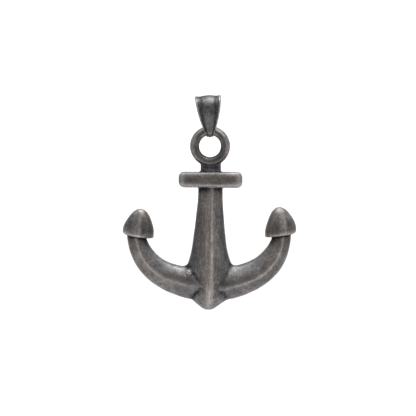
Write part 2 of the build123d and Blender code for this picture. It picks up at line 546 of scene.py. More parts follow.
@dataclass(frozen=True)
class DarkenedSilver:
    """Cast silver, blackened and then rubbed, so that what stands proud is bare.

    Attributes:
        name: the material's name.
        black: colour of the patina in the hollows.
        smoke: colour of the patina on open faces.
        pewter: colour where it is thin.
        bare: colour of rubbed metal.
        cool: what the patina's colour is multiplied by where it is bluish.
        warm: the same where it is brownish.
        worn_to: how worn the metal is where it has the colours of smoke and of pewter.
        lift: how worn it is over all.
        edge: how much more worn what stands out sharply is.
        form: how much less worn the wide hollows are.
        streaks: how strong the upright strokes of the brush are.
        stroke: width of a stroke in millimetres, and how many times as long it is.
        blotches: size of its blotches in millimetres, and how strong they are.
        flecks: the same of its flecks.
        pits: the same of its finest pits.
        crumbs: size of the crumbs of grime and of frost with its painted highlight, in
            millimetres.
        clouds: size of its bluish and brownish clouds, and how strong they are.
        warmth: how much wear warms its colour, and how warm the colour is before that.
        rough: how rough it is, how much rougher where it is worn, and in its flecks.
        deep: how deep its pits, flecks and strokes are, in millimetres.
    """

    name: str
    black: tuple[float, float, float] = (0.010, 0.010, 0.012)
    smoke: tuple[float, float, float] = (0.085, 0.078, 0.073)
    pewter: tuple[float, float, float] = (0.23, 0.218, 0.208)
    bare: tuple[float, float, float] = (0.62, 0.605, 0.60)
    cool: tuple[float, float, float] = (0.935, 0.97, 1.035)
    warm: tuple[float, float, float] = (1.038, 0.996, 0.957)
    worn_to: tuple[float, float] = (0.36, 0.66)
    lift: float = 0.36
    edge: float = 0.24
    form: float = 0.30
    streaks: float = 0.34
    stroke: tuple[float, float] = (0.20, 10.0)
    blotches: tuple[float, float] = (1.6, 0.32)
    flecks: tuple[float, float] = (0.42, 0.36)
    pits: tuple[float, float] = (0.16, 0.34)
    crumbs: float = 0.23
    clouds: tuple[float, float] = (2.6, 1.6)
    warmth: tuple[float, float] = (0.9, -0.62)
    rough: tuple[float, float, float] = (0.52, -0.14, 0.16)
    deep: float = 0.03

    def make(self) -> bpy.types.Material:
        """Build the material.

        Returns:
            The material, with its nodes joined.
        """
        finish, bench = start_finish(self.name)
        place = bench.add("TexCoord").outputs["Object"]
        blotch = bench.noise(place, self.blotches[0], detail=4.0)
        fleck = bench.noise(place, self.flecks[0], detail=3.0, rough=0.6)
        pit = bench.noise(place, self.pits[0], detail=2.0)
        brushing = bench.noise(place, self.stroke[0], detail=2.0,
                               stretch=(1.0, 1.0, self.stroke[1]))
        strokes = bench.calc("MULTIPLY", bench.kept("brushed"), bench.centred(brushing))
        crumbs = bench.span(bench.noise(place, self.crumbs, detail=2.0), low=0.40, high=0.64)
        between = bench.calc("SUBTRACT", 1.0, crumbs)
        grime = bench.calc("MULTIPLY", bench.kept("grime"), crumbs)
        frost_and_highlight = bench.calc("MULTIPLY", bench.kept("frost_and_highlight"), between)
        # worn is the patina's wear; the values kept on the mesh as wear and as frost also hold
        # painted highlights and painted shade, so worn carries them too.
        worn = bench.total((1.0, self.lift),
                           (bench.kept("fine"), self.edge), (bench.kept("broad"), self.form),
                           (bench.kept("wear_and_painted_light"), 1.0),
                           (bench.centred(blotch), self.blotches[1]),
                           (bench.centred(fleck), self.flecks[1]),
                           (bench.centred(pit), self.pits[1]),
                           (strokes, self.streaks), (grime, -1.0), (frost_and_highlight, 1.0))
        patina = bench.ramp(worn, ((0.0, self.black), (self.worn_to[0], self.smoke),
                                   (self.worn_to[1], self.pewter), (1.0, self.bare)))
        cloud = bench.noise(place, self.clouds[0], detail=2.0)
        warmth = bench.total((cloud, self.clouds[1]), (worn, self.warmth[0]),
                             (bench.kept("chill"), -1.0), (1.0, self.warmth[1]))
        tint = bench.ramp(warmth, ((0.0, self.cool), (1.0, self.warm)))
        tinted = bench.add("Mix", {0: 1.0, 6: patina, 7: tint}, data_type="RGBA",
                           blend_type="MULTIPLY")
        rough = bench.total((1.0, self.rough[0]), (worn, self.rough[1]),
                            (bench.centred(fleck), self.rough[2]))
        height = bench.total((pit, 0.6), (fleck, 1.0), (strokes, self.streaks * 2.0))
        bump = bench.add("Bump", {"Height": height, "Strength": 0.5, "Distance": self.deep * MM})
        bench.feed(bench.tree.nodes["Principled BSDF"],
                   {"Base Color": tinted.outputs[2], "Metallic": 1.0, "Roughness": rough,
                    "Normal": bump.outputs[0]})
        return finish


@dataclass(frozen=True)
class StudioPaint:
    """Matt pale paint of the studio floor.

    Attributes:
        name: the material's name.
        light: its lighter colour.
        shade: its darker colour.
        clouds: size of its pale clouds, in millimetres.
        rough: how rough it is.
    """

    name: str = "studio_floor"
    light: tuple[float, float, float] = (0.96, 0.96, 0.96)
    shade: tuple[float, float, float] = (0.94, 0.94, 0.94)
    clouds: float = 90.0
    rough: float = 0.9

    def make(self) -> bpy.types.Material:
        """Build the material.

        Returns:
            The material, with its nodes joined.
        """
        finish, bench = start_finish(self.name)
        cloud = bench.noise(bench.add("TexCoord").outputs["Object"], self.clouds)
        colour = bench.ramp(cloud, ((0.3, self.shade), (0.7, self.light)))
        bench.feed(bench.tree.nodes["Principled BSDF"],
                   {"Base Color": colour, "Roughness": self.rough})
        return finish


def coat(piece: bpy.types.Object, finish: DarkenedSilver | StudioPaint) -> None:
    """Give a piece one finish all over."""
    piece.data.materials.clear()
    piece.data.materials.append(finish.make())


# Forms.


@dataclass(frozen=True)
class Station:
    """One section of a drawn-out form, in millimetres.

    Attributes:
        x: place of its middle, to the right.
        z: place of its middle, upwards.
        width: across, in the plane of the front.
        depth: from front to back.
        turn: degrees that the section is turned from level, with its right end up.
        ridge: how far its ridges stand off the middle, across.
    """

    x: float
    z: float
    width: float
    depth: float
    turn: float = 0.0
    ridge: float = 0.0

    @property
    def middle(self) -> Vector:
        """Where its middle is."""
        return Vector((self.x, 0.0, self.z))

    @property
    def across(self) -> Vector:
        """The direction of its width."""
        angle = math.radians(self.turn)
        return Vector((math.cos(angle), 0.0, math.sin(angle)))

    def holds(self, place: Vector) -> bool:
        """Whether a place is in the plane of this section and near its middle."""
        away = place - self.middle
        along = away.dot(self.across.cross((0.0, 1.0, 0.0)))
        return abs(along) < TINY and away.length < self.width + self.depth


@dataclass(frozen=True)
class RidgedBar:
    """A bar with a ridge along its front and back, drawn out through stations.

    Attributes:
        stations: its sections, in order.
        quarter: a quarter of the section from ridge to side, as shares of its half sizes.
        crease: how sharp its ridges stay, from 0 to 1.
        bow: how far its ridges hang back from the plane of each section, in millimetres.
        ridge_share: how far from the middle an edge is on a ridge, as a share of the depth.
        ridge_turn: how far such an edge may turn across the bar, as a cosine.
    """

    stations: list[Station]
    quarter: tuple[tuple[float, float], ...]
    crease: float = 0.5
    bow: float = 0.0
    ridge_share: float = 0.475
    ridge_turn: float = 0.3

    def build(self, name: str) -> bpy.types.Object:
        """Draw the bar out from its first section.

        Args:
            name: the name of the new object.

        Returns:
            The bar, closed at both ends.
        """
        bar = self._first_section(name)
        for last, station in zip(self.stations, self.stations[1:]):
            self._draw_to(bar, last, station)
        if self.crease:
            bpy.ops.mesh.select_mode(type="EDGE")
            choose_edges(bar, self._on_ridge)
            bpy.ops.transform.edge_crease(value=self.crease)
        turn_outwards(bar)
        modify(bar, "SUBSURF", levels=2, render_levels=2)
        return bar

    def _on_ridge(self, middle: Vector, along: Vector) -> bool:
        """Whether an edge is part of the front or back ridge."""
        near = min(self.stations, key=lambda one: (one.middle - middle * Vector((1, 0, 1))).length)
        is_out = abs(middle.y) > near.depth * self.ridge_share
        return is_out and abs(along.dot(near.across)) < self.ridge_turn

    def _first_section(self, name: str) -> bpy.types.Object:
        """Make the first section out of a circle.

        Args:
            name: the name of the new object.

        Returns:
            The section, in edit mode with all of it selected.
        """
        corners = 4 * (len(self.quarter) - 1)
        bar = start_from(bpy.ops.mesh.primitive_circle_add, vertices=corners, radius=1.0,
                         fill_type="NGON", location=ORIGIN)
        bar.name = bar.data.name = name
        start_editing(bar)
        for count, (across, deep) in enumerate(self.quarter):
            angle = math.tau * count / corners
            flat_x, flat_y = math.sin(angle), math.cos(angle)
            choose_corners(bar, lambda place: abs(abs(place.x) - flat_x) < TINY
                           and abs(abs(place.y) - flat_y) < TINY)
            resize((across / flat_x if across else 1.0, deep / flat_y if deep else 1.0, 1.0),
                   ORIGIN)
            bpy.ops.transform.translate(value=(0.0, 0.0, -self.bow * deep))
        first = self.stations[0]
        bpy.ops.mesh.select_all(action="SELECT")
        resize((first.width / 2, first.depth / 2, 1.0), ORIGIN)
        rotate(first.turn, ORIGIN)
        bpy.ops.transform.translate(value=first.middle)
        self._slide_ridge(bar, first, first.ridge)
        return bar

    def _draw_to(self, bar: bpy.types.Object, last: Station, station: Station) -> None:
        """Draw the open end out to the next station.

        Args:
            bar: the bar, in edit mode with its end selected.
            last: the section that the end has now.
            station: the section that it gets.
        """
        move = station.middle - last.middle
        bpy.ops.mesh.extrude_region_move(TRANSFORM_OT_translate={"value": move})
        wide, deep = station.width / last.width, station.depth / last.depth
        rotate(station.turn - last.turn, station.middle)
        resize((wide, deep, wide), station.middle)
        self._slide_ridge(bar, station, station.ridge - last.ridge * wide)

    def _slide_ridge(self, bar: bpy.types.Object, station: Station, slide: float) -> None:
        """Slide the ridges of the end across it, and what is beside them less.

        Args:
            bar: the bar, in edit mode with its end selected.
            station: the end's section.
            slide: how far, in millimetres.
        """
        if abs(slide) < TINY:
            return
        for share, deep in self.quarter[:-1]:
            level = station.depth / 2 * deep
            choose_corners(bar, lambda place: station.holds(place)
                           and abs(abs(place.y) - level) < TINY)
            bpy.ops.transform.translate(value=station.across * slide * (1.0 - share))
        choose_corners(bar, station.holds)


# A quarter of each section, from the ridge to the side.
SHANK_QUARTER = ((0.0, 1.0), (0.10, 0.955), (0.26, 0.895), (0.44, 0.825), (0.61, 0.735),
                 (0.765, 0.61), (0.885, 0.44), (0.968, 0.225), (1.0, 0.0))
ARM_QUARTER = ((0.0, 1.0), (0.10, 0.945), (0.26, 0.875), (0.44, 0.795), (0.61, 0.70),
               (0.765, 0.575), (0.885, 0.41), (0.968, 0.21), (1.0, 0.0))
FLUKE_QUARTER = ((0.0, 1.0), (0.16, 0.968), (0.35, 0.915), (0.535, 0.83), (0.70, 0.705),
                 (0.83, 0.555), (0.925, 0.38), (0.982, 0.19), (1.0, 0.0))

# The shank and crown, from inside the stock to the tip:
# height, width, depth, place of the middle and how far the ridge stands off it.
SHANK_ROWS = (
    (-15.90, 4.60, 3.25, 0.420, 0.30), (-17.10, 4.62, 3.28, 0.416, 0.31),
    (-19.00, 4.68, 3.34, 0.380, 0.36), (-20.80, 5.00, 3.48, 0.336, 0.41),
    (-22.70, 5.38, 3.66, 0.290, 0.46), (-24.55, 5.77, 3.86, 0.242, 0.48),
    (-26.40, 6.16, 4.05, 0.210, 0.47), (-28.30, 6.70, 4.25, 0.210, 0.46),
    (-29.80, 7.44, 4.42, 0.228, 0.45), (-31.20, 8.98, 4.56, 0.250, 0.43),
    (-32.80, 8.10, 4.68, 0.200, 0.40), (-34.60, 7.90, 4.72, 0.190, 0.34),
    (-36.00, 7.30, 4.66, 0.170, 0.24), (-36.90, 7.10, 4.52, 0.150, 0.16),
    (-37.45, 7.10, 4.34, 0.400, 0.10), (-37.90, 5.72, 4.08, 0.175, 0.06),
    (-38.45, 4.18, 3.55, 0.070, 0.02), (-38.93, 2.88, 2.75, 0.020, 0.0),
    (-39.22, 2.02, 1.90, 0.000, 0.0), (-39.37, 1.28, 1.20, 0.0, 0.0),
    (-39.41, 0.62, 0.60, 0.0, 0.0))

# An arm: degrees round from straight down, depth, share of the width under the ridge and how
# far its outer edge stands outside its arc.
ARM_ROWS = ((-20.0, 4.12, 0.30, 0.30), (-10.0, 4.12, 0.315, 0.50), (-3.0, 4.10, 0.345, 0.60),
            (3.0, 4.05, 0.385, 0.42), (10.0, 3.95, 0.385, 0.24), (20.0, 3.78, 0.37, 0.15),
            (30.0, 3.60, 0.36, 0.16), (40.0, 3.42, 0.36, 0.20), (50.0, 3.24, 0.37, 0.25),
            (60.0, 3.08, 0.39, 0.22), (70.0, 2.94, 0.43, 0.15), (80.0, 2.80, 0.47, 0.08),
            (87.0, 2.70, 0.51, 0.04))

# An arm swells at its bend: the degrees round of its fullest place, and its reach.
SWELL_MIDDLE, SWELL_REACH = 52.0, 14.0

# A fluke, from its flat foot to its tip: share of the height and share of the width.
FLUKE_ROWS = ((0.0, 0.89), (0.012, 0.94), (0.04, 0.98), (0.08, 0.995), (0.15, 1.0),
              (0.24, 0.993), (0.33, 0.96), (0.43, 0.90), (0.53, 0.823), (0.63, 0.735),
              (0.72, 0.645), (0.80, 0.555), (0.87, 0.46), (0.92, 0.36), (0.96, 0.245),
              (0.985, 0.16), (1.0, 0.05))

# Shares of a fluke's height: where its body stands out in full, and where its heel ends.
BODY_OUT, HEEL_END = 0.5, 0.06

# The splay of the neck's foot: how far down, and how much wider and deeper.
NECK_SPLAY = ((0.20, 1.02, 1.14), (0.22, 1.05, 1.26), (0.30, 1.09, 1.32))

# Waves and pits in the skin of the casting: name, size and height.
SKIN = (("cast_waves", 1.5, 0.05), ("cast_pits", 0.36, 0.022))

# Skin that faces up is painted a little lighter and skin that faces down darker, by its normal's
# z: painted light from above and painted shade below.
PAINTED_LIGHT_ABOVE, PAINTED_SHADE_BELOW = Fade(0.0, 1.0, 0.07), Fade(0.0, -1.0, -0.08)

# The ring, by the distance from its centre: painted shade round the middle of its wire, more so
# where it is level, and painted shade inside it.
# By the distance from its inner lips: a lighter line on them, rubbed and a painted highlight.
RING_DARK, RING_DARK_LEVEL = Band(2.79, 0.26, -0.26), Band(3.02, 0.22, -0.13)
RING_INSIDE, RING_LIP = Fade(2.75, -0.2, -0.11), Band(0.0, 0.08, 0.07)

# The flat of the stock is darker, by the distance along and up from its middle.
FLAT_ALONG, FLAT_UP = Fade(5.45, -0.6, -0.09), Fade(1.10, -0.45)

# The brush shows a little all over, more on the flukes, by how far out and up they are, and
# most on the shank under the stock, by its middle and its half width at two heights.
BRUSHED_ALL_OVER = 0.25
FLUKES_OUT, FLUKES_UP = Fade(10.4, 0.3, 0.45), Fade(-25.9, 0.3)
SHANK_INSIDE, SHANK_UNDER = Fade(0.0, 0.4, 0.75), Fade(-16.4, -0.3)
SHANK_MIDDLE, SHANK_HALVES = 0.25, ((-32.0, 3.8), (-24.0, 2.6))

# Where the casting's finish is made lighter or darker: patina left or rubbed off by hand, and
# painted highlights and painted shade where light and shade fall on it; place, reach along x, y
# and z, and how much lighter it is.
CASTING_WEAR_AND_LIGHT = (
    # The ring.
    (0.34, 0, -8.9, 4.2, 2, 4.2, -0.12), (1.25, -0.8, -11.3, 0.8, 1.2, 0.4, -0.08),
    (1.9, -0.8, -10.4, 0.4, 1.2, 0.5, -0.06), (-0.6, -0.8, -11.2, 0.5, 1.2, 0.35, 0.06),
    (-2.7, -0.8, -10.7, 0.4, 1.4, 0.5, -0.08), (3, -0.8, -11.3, 0.5, 1.4, 0.5, -0.09),
    # The ring's shoulders and sides, mostly painted highlights where the light catches them.
    (2.35, -0.5, -6.1, 0.9, 1.5, 0.6, 0.25), (3.1, -0.6, -6.9, 0.35, 1.4, 0.35, 0.1),
    (1.4, -0.5, -6.8, 0.5, 1.4, 0.35, 0.17), (-0.85, -0.5, -7, 0.5, 1.4, 0.35, 0.19),
    (-1.6, -0.5, -6.1, 0.9, 1.5, 0.6, 0.02), (3.1, -0.8, -9.8, 0.4, 1.2, 0.8, 0.06),
    (3.25, -0.6, -7, 0.6, 1.4, 0.8, 0.17), (3.8, -0.6, -8.4, 0.4, 1.4, 1.6, 0.19),
    (-2.9, -0.6, -7.5, 0.45, 1.4, 0.9, 0.23), (2.2, -0.8, -10.9, 0.8, 1.2, 0.7, -0.09),
    # The ring's rim over the neck.
    (0.35, -0.7, -12.38, 1.7, 1, 0.22, 0.12),
    # The neck, darkened as painted shade between the ring and the stock, with a painted highlight
    # at its foot over the stock's top edge.
    (0.4, 0, -12.9, 2.6, 2, 0.6, -0.16), (-1.2, -0.3, -12.9, 0.6, 1, 0.9, -0.18),
    (2.1, -0.3, -12.8, 0.5, 1, 0.7, -0.18), (0.6, -0.5, -12.9, 0.6, 1, 0.8, 0.08),
    (0.9, -0.6, -13.5, 1.5, 0.9, 0.24, 0.33), (0.6, -0.4, -12.55, 0.8, 1, 0.25, 0.1),
    (-0.9, -0.4, -12.8, 0.4, 1, 0.5, -0.06),
    # Painted shadow of the stock on the top of the shank.
    (0.4, 0, -16.95, 2.9, 2.4, 0.5, -0.34), (-1, -1.6, -17.5, 0.9, 1.2, 0.5, -0.12),
    (0.8, -1.9, -18, 0.4, 1.2, 0.7, -0.12), (-1.75, -1.4, -17.4, 0.6, 1.4, 0.5, -0.13),
    (2.2, -1.4, -17.3, 0.6, 1.4, 0.4, -0.08),
    # The stock's top edge.
    (0.4, -1.4, -13.9, 6.5, 1, 0.3, -0.14),
    # Painted highlights along the stock's bottom and top edges and at its ends, and darker patches
    # on its face and rim.
    (0.4, -1.4, -16.5, 6.5, 1, 0.32, 0.13), (4.1, -1.4, -13.98, 1.2, 0.9, 0.24, 0.21),
    (-2.6, -1.4, -13.9, 1.3, 0.9, 0.2, 0.08), (1.6, -1.6, -14.5, 1.9, 1, 0.7, -0.08),
    (1.4, -1.6, -15.9, 1.3, 1, 0.4, -0.09), (6, -1.4, -15, 0.9, 1.4, 1.3, 0.12),
    (0.6, -1.6, -16.62, 2.3, 0.8, 0.16, 0.3), (2, -1.6, -16.62, 0.6, 0.8, 0.18, 0.2),
    (-2, -1.6, -16.62, 1.5, 0.8, 0.16, 0.1), (-0.9, -2, -15, 1.1, 1.2, 0.5, 0.07),
    (1.8, -1.2, -13.75, 1.3, 1, 0.15, 0.12), (6.15, -1.2, -14.25, 0.3, 1.6, 0.3, 0.2),
    (-5.1, -1.2, -14.15, 0.35, 1.6, 0.35, 0.18), (-5.4, -1.2, -15.8, 0.4, 1.4, 0.5, -0.08),
    (-0.5, -1.8, -14.4, 1.4, 1.2, 0.3, -0.06), (-4.4, -1.4, -16.4, 0.7, 1, 0.3, 0.06),
    (4.8, -1.4, -16.4, 1, 1, 0.3, 0.06), (4.2, -2, -14.4, 1.3, 1.2, 0.3, 0.06),
    (-2.1, -2, -15.95, 0.9, 1.2, 0.3, -0.1), (1.8, -2, -15.95, 0.9, 1.2, 0.3, -0.1),
    # Towards the ends of the stock's flat.
    (-3.3, -2, -15.25, 1.2, 1.2, 0.5, -0.05), (4.2, -2, -15.25, 1.2, 1.2, 0.5, -0.06),
    # Down the ridge of the shank, rubbed and with a painted highlight.
    (0.8, -2, -24, 0.5, 1.6, 8, 0.04), (0.65, -2, -32, 0.5, 1.6, 6, 0.05),
    (0.7, -2, -32.2, 0.5, 1.6, 1.2, 0.05),
    # Left of the ridge.
    (-0.3, -2, -28.5, 0.5, 1.6, 6, 0.12), (-1.6, -2, -26, 0.7, 1.6, 3, -0.04),
    (-1.7, -1.8, -24, 0.8, 1.6, 1.3, -0.07), (-0.4, -1.9, -19.5, 0.6, 1.4, 1, 0.08),
    (-0.6, -1.8, -21.2, 0.4, 1.4, 1, -0.05), (0.1, -2, -20.2, 0.5, 1.6, 0.7, 0.06),
    (0, -2, -22.4, 0.35, 1.6, 0.8, 0.06), (-0.9, -2, -23.2, 0.5, 1.6, 0.7, -0.07),
    (-1.3, -1.8, -27.2, 0.4, 1.6, 1.2, 0.03), (-0.6, -2, -32.2, 0.4, 1.6, 0.7, -0.03),
    (-0.9, -2, -34.3, 0.5, 1.5, 0.6, 0.06), (-2.1, -1.6, -24.2, 0.4, 1.4, 1, -0.04),
    (-0.35, -2, -24.5, 0.45, 1.6, 1, 0.07), (-1.8, -1.8, -33.2, 0.8, 1.5, 0.8, 0.05),
    (-2, -1.8, -29.8, 0.5, 1.6, 0.7, -0.07), (0.9, -2, -29.3, 0.5, 1.6, 0.6, 0.1),
    (-3.2, -1.2, -28.6, 0.35, 1.8, 1.4, 0.17), (-0.8, -2, -34.8, 0.5, 1.5, 0.5, 0.06),
    (-1.8, -1.9, -35.7, 0.6, 1.5, 0.4, 0.09), (0.2, -2, -31, 1, 1.6, 2, 0.04),
    # Right of the ridge.
    (1.9, -2, -27.9, 1.2, 1.6, 2.6, 0.05), (2.3, -2, -31.8, 0.8, 1.6, 1.1, -0.05),
    (2, -2, -20.9, 0.5, 1.6, 1, -0.06), (1.2, -2, -22, 0.4, 1.6, 0.7, 0.05),
    (1.6, -2, -25.6, 0.6, 1.6, 1.8, 0.05), (2.4, -1.8, -24.6, 0.4, 1.4, 1.1, -0.1),
    (1.7, -1.8, -19.3, 0.9, 1.4, 1.2, 0.07), (1.25, -2, -24.6, 0.35, 1.6, 0.9, 0.06),
    (1.6, -2, -28.8, 0.4, 1.6, 0.6, -0.06), (3.1, -1.6, -26.9, 0.35, 1.6, 0.6, 0.07),
    (0.9, -2, -32.2, 0.35, 1.6, 0.9, 0.06), (2.2, -2, -32.2, 0.4, 1.6, 0.8, -0.06),
    (3.2, -1.8, -33.3, 0.3, 1.4, 0.5, 0.1), (2.3, -2, -29.4, 0.9, 1.6, 0.8, 0.1),
    (1.8, -2, -34.1, 0.7, 1.6, 0.7, 0.12), (3.9, -1.4, -31.4, 0.45, 1.8, 1.6, 0.17),
    # The crown.
    (0.2, -2, -35, 1, 1.8, 2.4, 0.08), (0.1, -1.5, -37.4, 0.75, 1.8, 1.8, 0.12),
    (-2.4, -1.5, -37.4, 1.2, 1.8, 0.9, -0.04), (2.4, -1.5, -37.4, 1.2, 1.8, 0.9, -0.07),
    (0, 0, -39.42, 1.3, 2.5, 0.22, -0.2), (-4.2, -1.2, -36.5, 1.3, 1.4, 0.5, -0.07),
    (-0.2, -1.8, -37.5, 0.6, 1.4, 0.4, -0.07), (0.5, -1.6, -38.5, 0.6, 1.6, 0.4, 0.05),
    (0.4, -2, -36.2, 0.9, 1.6, 0.8, 0.06), (2.6, -1.2, -37.3, 0.6, 1.4, 0.4, -0.04),
    (-2.6, -1.6, -36.2, 0.6, 1.4, 0.35, 0.06), (2, -1.9, -35.9, 0.6, 1.5, 0.4, 0.1),
    # The armpits, darker: patina and painted shade.
    (-3.9, 0, -31.1, 0.45, 2.4, 0.45, -0.15), (4.2, 0, -31, 0.35, 2.4, 0.45, -0.13),
    # Where the arms leave the shank and the crown.
    (-4.7, -1.4, -32.5, 1.2, 1, 0.5, 0.12), (4.1, -1.2, -32.1, 0.9, 1.6, 0.9, 0.14),
    (5, -1.6, -32.9, 1, 1.4, 0.6, 0.07), (-4, -1.9, -33.9, 1.9, 1.2, 0.6, -0.17),
    (4.5, -1.9, -34.4, 1.3, 1.2, 0.5, -0.2), (5, -1.8, -33.6, 0.7, 1.2, 0.3, 0.05),
    (3.2, -1.9, -35, 1, 1.2, 0.4, -0.15), (5.1, -1.8, -35.4, 0.6, 1.3, 0.4, 0.06),
    (0, -2.2, -35.3, 0.8, 1.5, 1.2, 0.05), (-1.4, -1.8, -36.7, 0.8, 1.6, 0.7, -0.07),
    (6.8, -1.6, -33.1, 0.9, 1.4, 0.5, 0.07), (-2.9, -1.9, -34.75, 0.6, 1.3, 0.5, -0.09),
    (-4.2, -1.9, -35.3, 0.6, 1.3, 0.4, 0.1),
    # The flanks of the shank, darkened as painted shade.
    (-2.6, -1, -30, 0.7, 2.2, 2.8, -0.06), (3.4, -1, -31.5, 0.9, 2.2, 2, -0.06),
    # The upper faces of the arms, with painted highlights where they face up to the light.
    (-6.4, -1, -31.6, 1.9, 1.4, 0.75, 0.15), (-9, -0.6, -30, 1.9, 1.6, 1.3, 0.17),
    (6.6, -1, -31.8, 1.9, 1.4, 0.75, 0.07), (9.2, -0.6, -30.3, 1.9, 1.6, 1.3, 0.06),
    (-5, -1.4, -31.9, 0.8, 1.4, 0.4, 0.11), (-6.3, -0.4, -31.05, 0.6, 1.4, 0.2, -0.12),
    (-7.6, -0.8, -31.2, 0.5, 1.4, 0.4, 0.07), (-10.5, -1, -28, 0.4, 1.4, 0.6, 0.06),
    (-10.2, -1, -28.4, 1, 1.4, 1.3, 0.1), (-9.7, -1.5, -30.9, 1, 1.4, 0.7, -0.11),
    (12.2, -1.6, -28.6, 0.8, 1.4, 0.9, 0.08), (7.6, -0.2, -30.4, 1.6, 1, 0.3, -0.15),
    (5.4, -0.6, -31.05, 1, 1.4, 0.25, -0.09), (-11.7, -1.2, -27, 0.5, 1.4, 0.6, -0.07),
    (-10.9, -1.4, -29.4, 0.6, 1.4, 0.6, -0.05),
    # The arms, from under the flukes down to their bend, with painted shadows under the flukes.
    (-11.5, -1, -26.2, 1.1, 1.5, 0.7, -0.19), (-12.2, -1.6, -28, 0.7, 1.4, 0.9, 0.09),
    (-11.5, -1.5, -25, 0.6, 1.4, 0.35, -0.09), (-10.3, -1, -25.1, 0.3, 1.4, 0.5, -0.08),
    (-15.4, -1, -25.3, 0.5, 1.4, 0.25, -0.12), (-14.5, -1, -26.1, 0.7, 1.4, 0.4, -0.14),
    (11.7, -1, -26.3, 1, 1.5, 0.9, -0.22), (-14.4, -1, -27.4, 0.4, 1.4, 0.6, 0.06),
    (14.8, -1, -26.6, 0.5, 1.4, 0.5, -0.08), (13.4, -1.4, -28, 0.35, 1.4, 0.8, -0.08),
    (13.4, -1.4, -26.4, 0.4, 1.4, 0.4, 0.08), (-13.4, -1.4, -26.4, 0.5, 1.4, 0.4, 0.11),
    (-12, -1.2, -26, 0.5, 1.4, 0.35, -0.08), (-11.4, -1.4, -27.5, 0.4, 1.4, 0.6, -0.09),
    (13.5, -1.4, -26.7, 0.4, 1.4, 0.7, 0.04), (12.7, -1.6, -29.3, 0.7, 1.4, 1.1, 0.06),
    (11.4, -1.4, -31.8, 0.6, 1.4, 0.8, 0.04), (9.4, -1.6, -33.3, 0.8, 1.4, 0.5, 0.07),
    (11, -1.2, -33.9, 0.9, 1.4, 0.35, -0.1), (8.4, -1.4, -34.9, 0.8, 1.4, 0.35, -0.08),
    (8.6, -1, -30.6, 0.9, 1.4, 0.35, 0.03), (7.1, -1.6, -34.7, 0.8, 1.4, 0.5, 0.1),
    # The lower faces of the arms, outside their ridges, with painted highlights along them.
    (-13.1, -1.2, -29.9, 0.6, 1.4, 1, 0.13), (-11.3, -1.2, -31.8, 0.8, 1.4, 0.7, 0.07),
    (-9.4, -1.4, -33.1, 0.8, 1.4, 0.5, 0.12), (-8.1, -1.4, -34, 0.8, 1.4, 0.5, 0.16),
    (-9.2, -1.6, -31.4, 0.8, 1.4, 0.6, -0.05), (-14.4, -0.8, -28.8, 0.4, 1.4, 1, -0.1),
    (14.7, -1, -28.6, 0.5, 1.4, 0.9, 0.05), (10.3, -1.8, -31.7, 0.7, 1.2, 0.6, -0.12),
    (-6.4, -1.6, -34.6, 1.1, 1.3, 0.4, 0.13), (6, -1.8, -34.9, 0.9, 1.3, 0.3, 0.06),
    (-4.7, -1.8, -34.4, 0.4, 1.2, 0.3, -0.06), (-8.7, -1.2, -34.6, 0.7, 1.4, 0.3, -0.08),
    (-11.5, -1.4, -32.9, 0.6, 1.3, 0.4, -0.05), (-8.2, -1.8, -33, 0.9, 1.2, 0.4, -0.06),
    # Over the arms' ridges.
    (-7.6, -1.9, -33.1, 2.6, 0.9, 0.7, -0.1), (6.8, -1.9, -33.3, 2.6, 0.9, 0.8, -0.14),
    # Where the ridges run out.
    (-2.3, -2, -35.2, 0.8, 1.5, 0.5, -0.03), (2.6, -2, -35.4, 0.8, 1.5, 0.5, -0.03),
    # The flukes.
    (-13.1, 0, -24, 3.4, 3, 2.2, -0.1), (13.4, 0, -24, 3.4, 3, 2.2, -0.1),
    # The tips of the flukes, with painted highlights at their apexes.
    (-12.5, -0.6, -20.7, 0.7, 1.2, 0.4, 0.12), (-13.15, -1, -21.15, 0.45, 1.2, 0.45, -0.17),
    (-12.2, -0.6, -20.8, 0.4, 1.2, 0.3, 0.1), (-12.6, -1, -21, 0.5, 1.2, 0.2, 0.04),
    (13.2, -0.6, -20.6, 0.7, 1.2, 0.5, 0.04),
    # The faces of the flukes, with painted highlights and painted shade on their facets.
    (-14.5, -1.6, -23.7, 0.7, 1.4, 1.2, -0.09), (-15.5, -1.2, -24.7, 0.7, 1.4, 0.6, 0.18),
    (-14, -1.8, -24.7, 0.5, 1.3, 0.4, 0.08), (-14.9, -1.2, -22.9, 0.35, 1.3, 0.9, 0.08),
    (-12.9, -1.6, -21.6, 0.5, 1.2, 0.4, -0.09), (-15.6, -0.8, -23.9, 0.5, 1.2, 1.4, 0.09),
    (-11, -1.4, -22.4, 0.6, 1.4, 1.5, 0.08), (-12.2, -1.9, -24, 0.5, 1.4, 1.4, -0.05),
    (-13.2, -1.9, -22.9, 0.8, 1.4, 1.3, -0.07), (11.5, -1.5, -22.6, 0.7, 1.4, 2, 0.11),
    (12.7, -1.8, -24.3, 0.9, 1.4, 1, -0.17), (13.2, -2, -23.2, 0.5, 1.4, 2, -0.07),
    (15, -1.2, -21.9, 0.8, 1.4, 0.8, 0.17), (14.2, -1.7, -24.4, 0.4, 1.4, 0.8, 0.08),
    (15.7, -1, -23.6, 0.6, 1.4, 1.8, 0.1), (14.9, -1.4, -23.2, 0.4, 1.4, 0.7, -0.07),
    (11.1, -1.4, -24.2, 0.4, 1.4, 0.6, 0.07), (11.9, -1.2, -21.8, 0.5, 1.3, 0.5, 0.11),
    (11.6, -1.4, -23.2, 0.5, 1.3, 0.5, -0.06), (13.9, -1.4, -21.7, 0.5, 1.3, 0.5, 0.07),
)

# Painted highlights and painted shade on the bead and the metal round it, in the same order.
BEAD_PAINTED_LIGHT = ((-3.45, -1.8, -32.45, 0.42, 0.5, 0.4, -0.14),
                (-2.9, -1.6, -32.2, 0.35, 0.6, 0.45, 0.24),
                (-3.7, -1.5, -33.02, 0.65, 0.6, 0.28, 0.32),
                (-4.26, -1.5, -32.5, 0.24, 0.6, 0.5, 0.3),
                (-3.1, -1.2, -32, 0.4, 1, 0.55, 0.16),
                (-2.9, -1.6, -32.95, 0.35, 0.6, 0.45, 0.13))

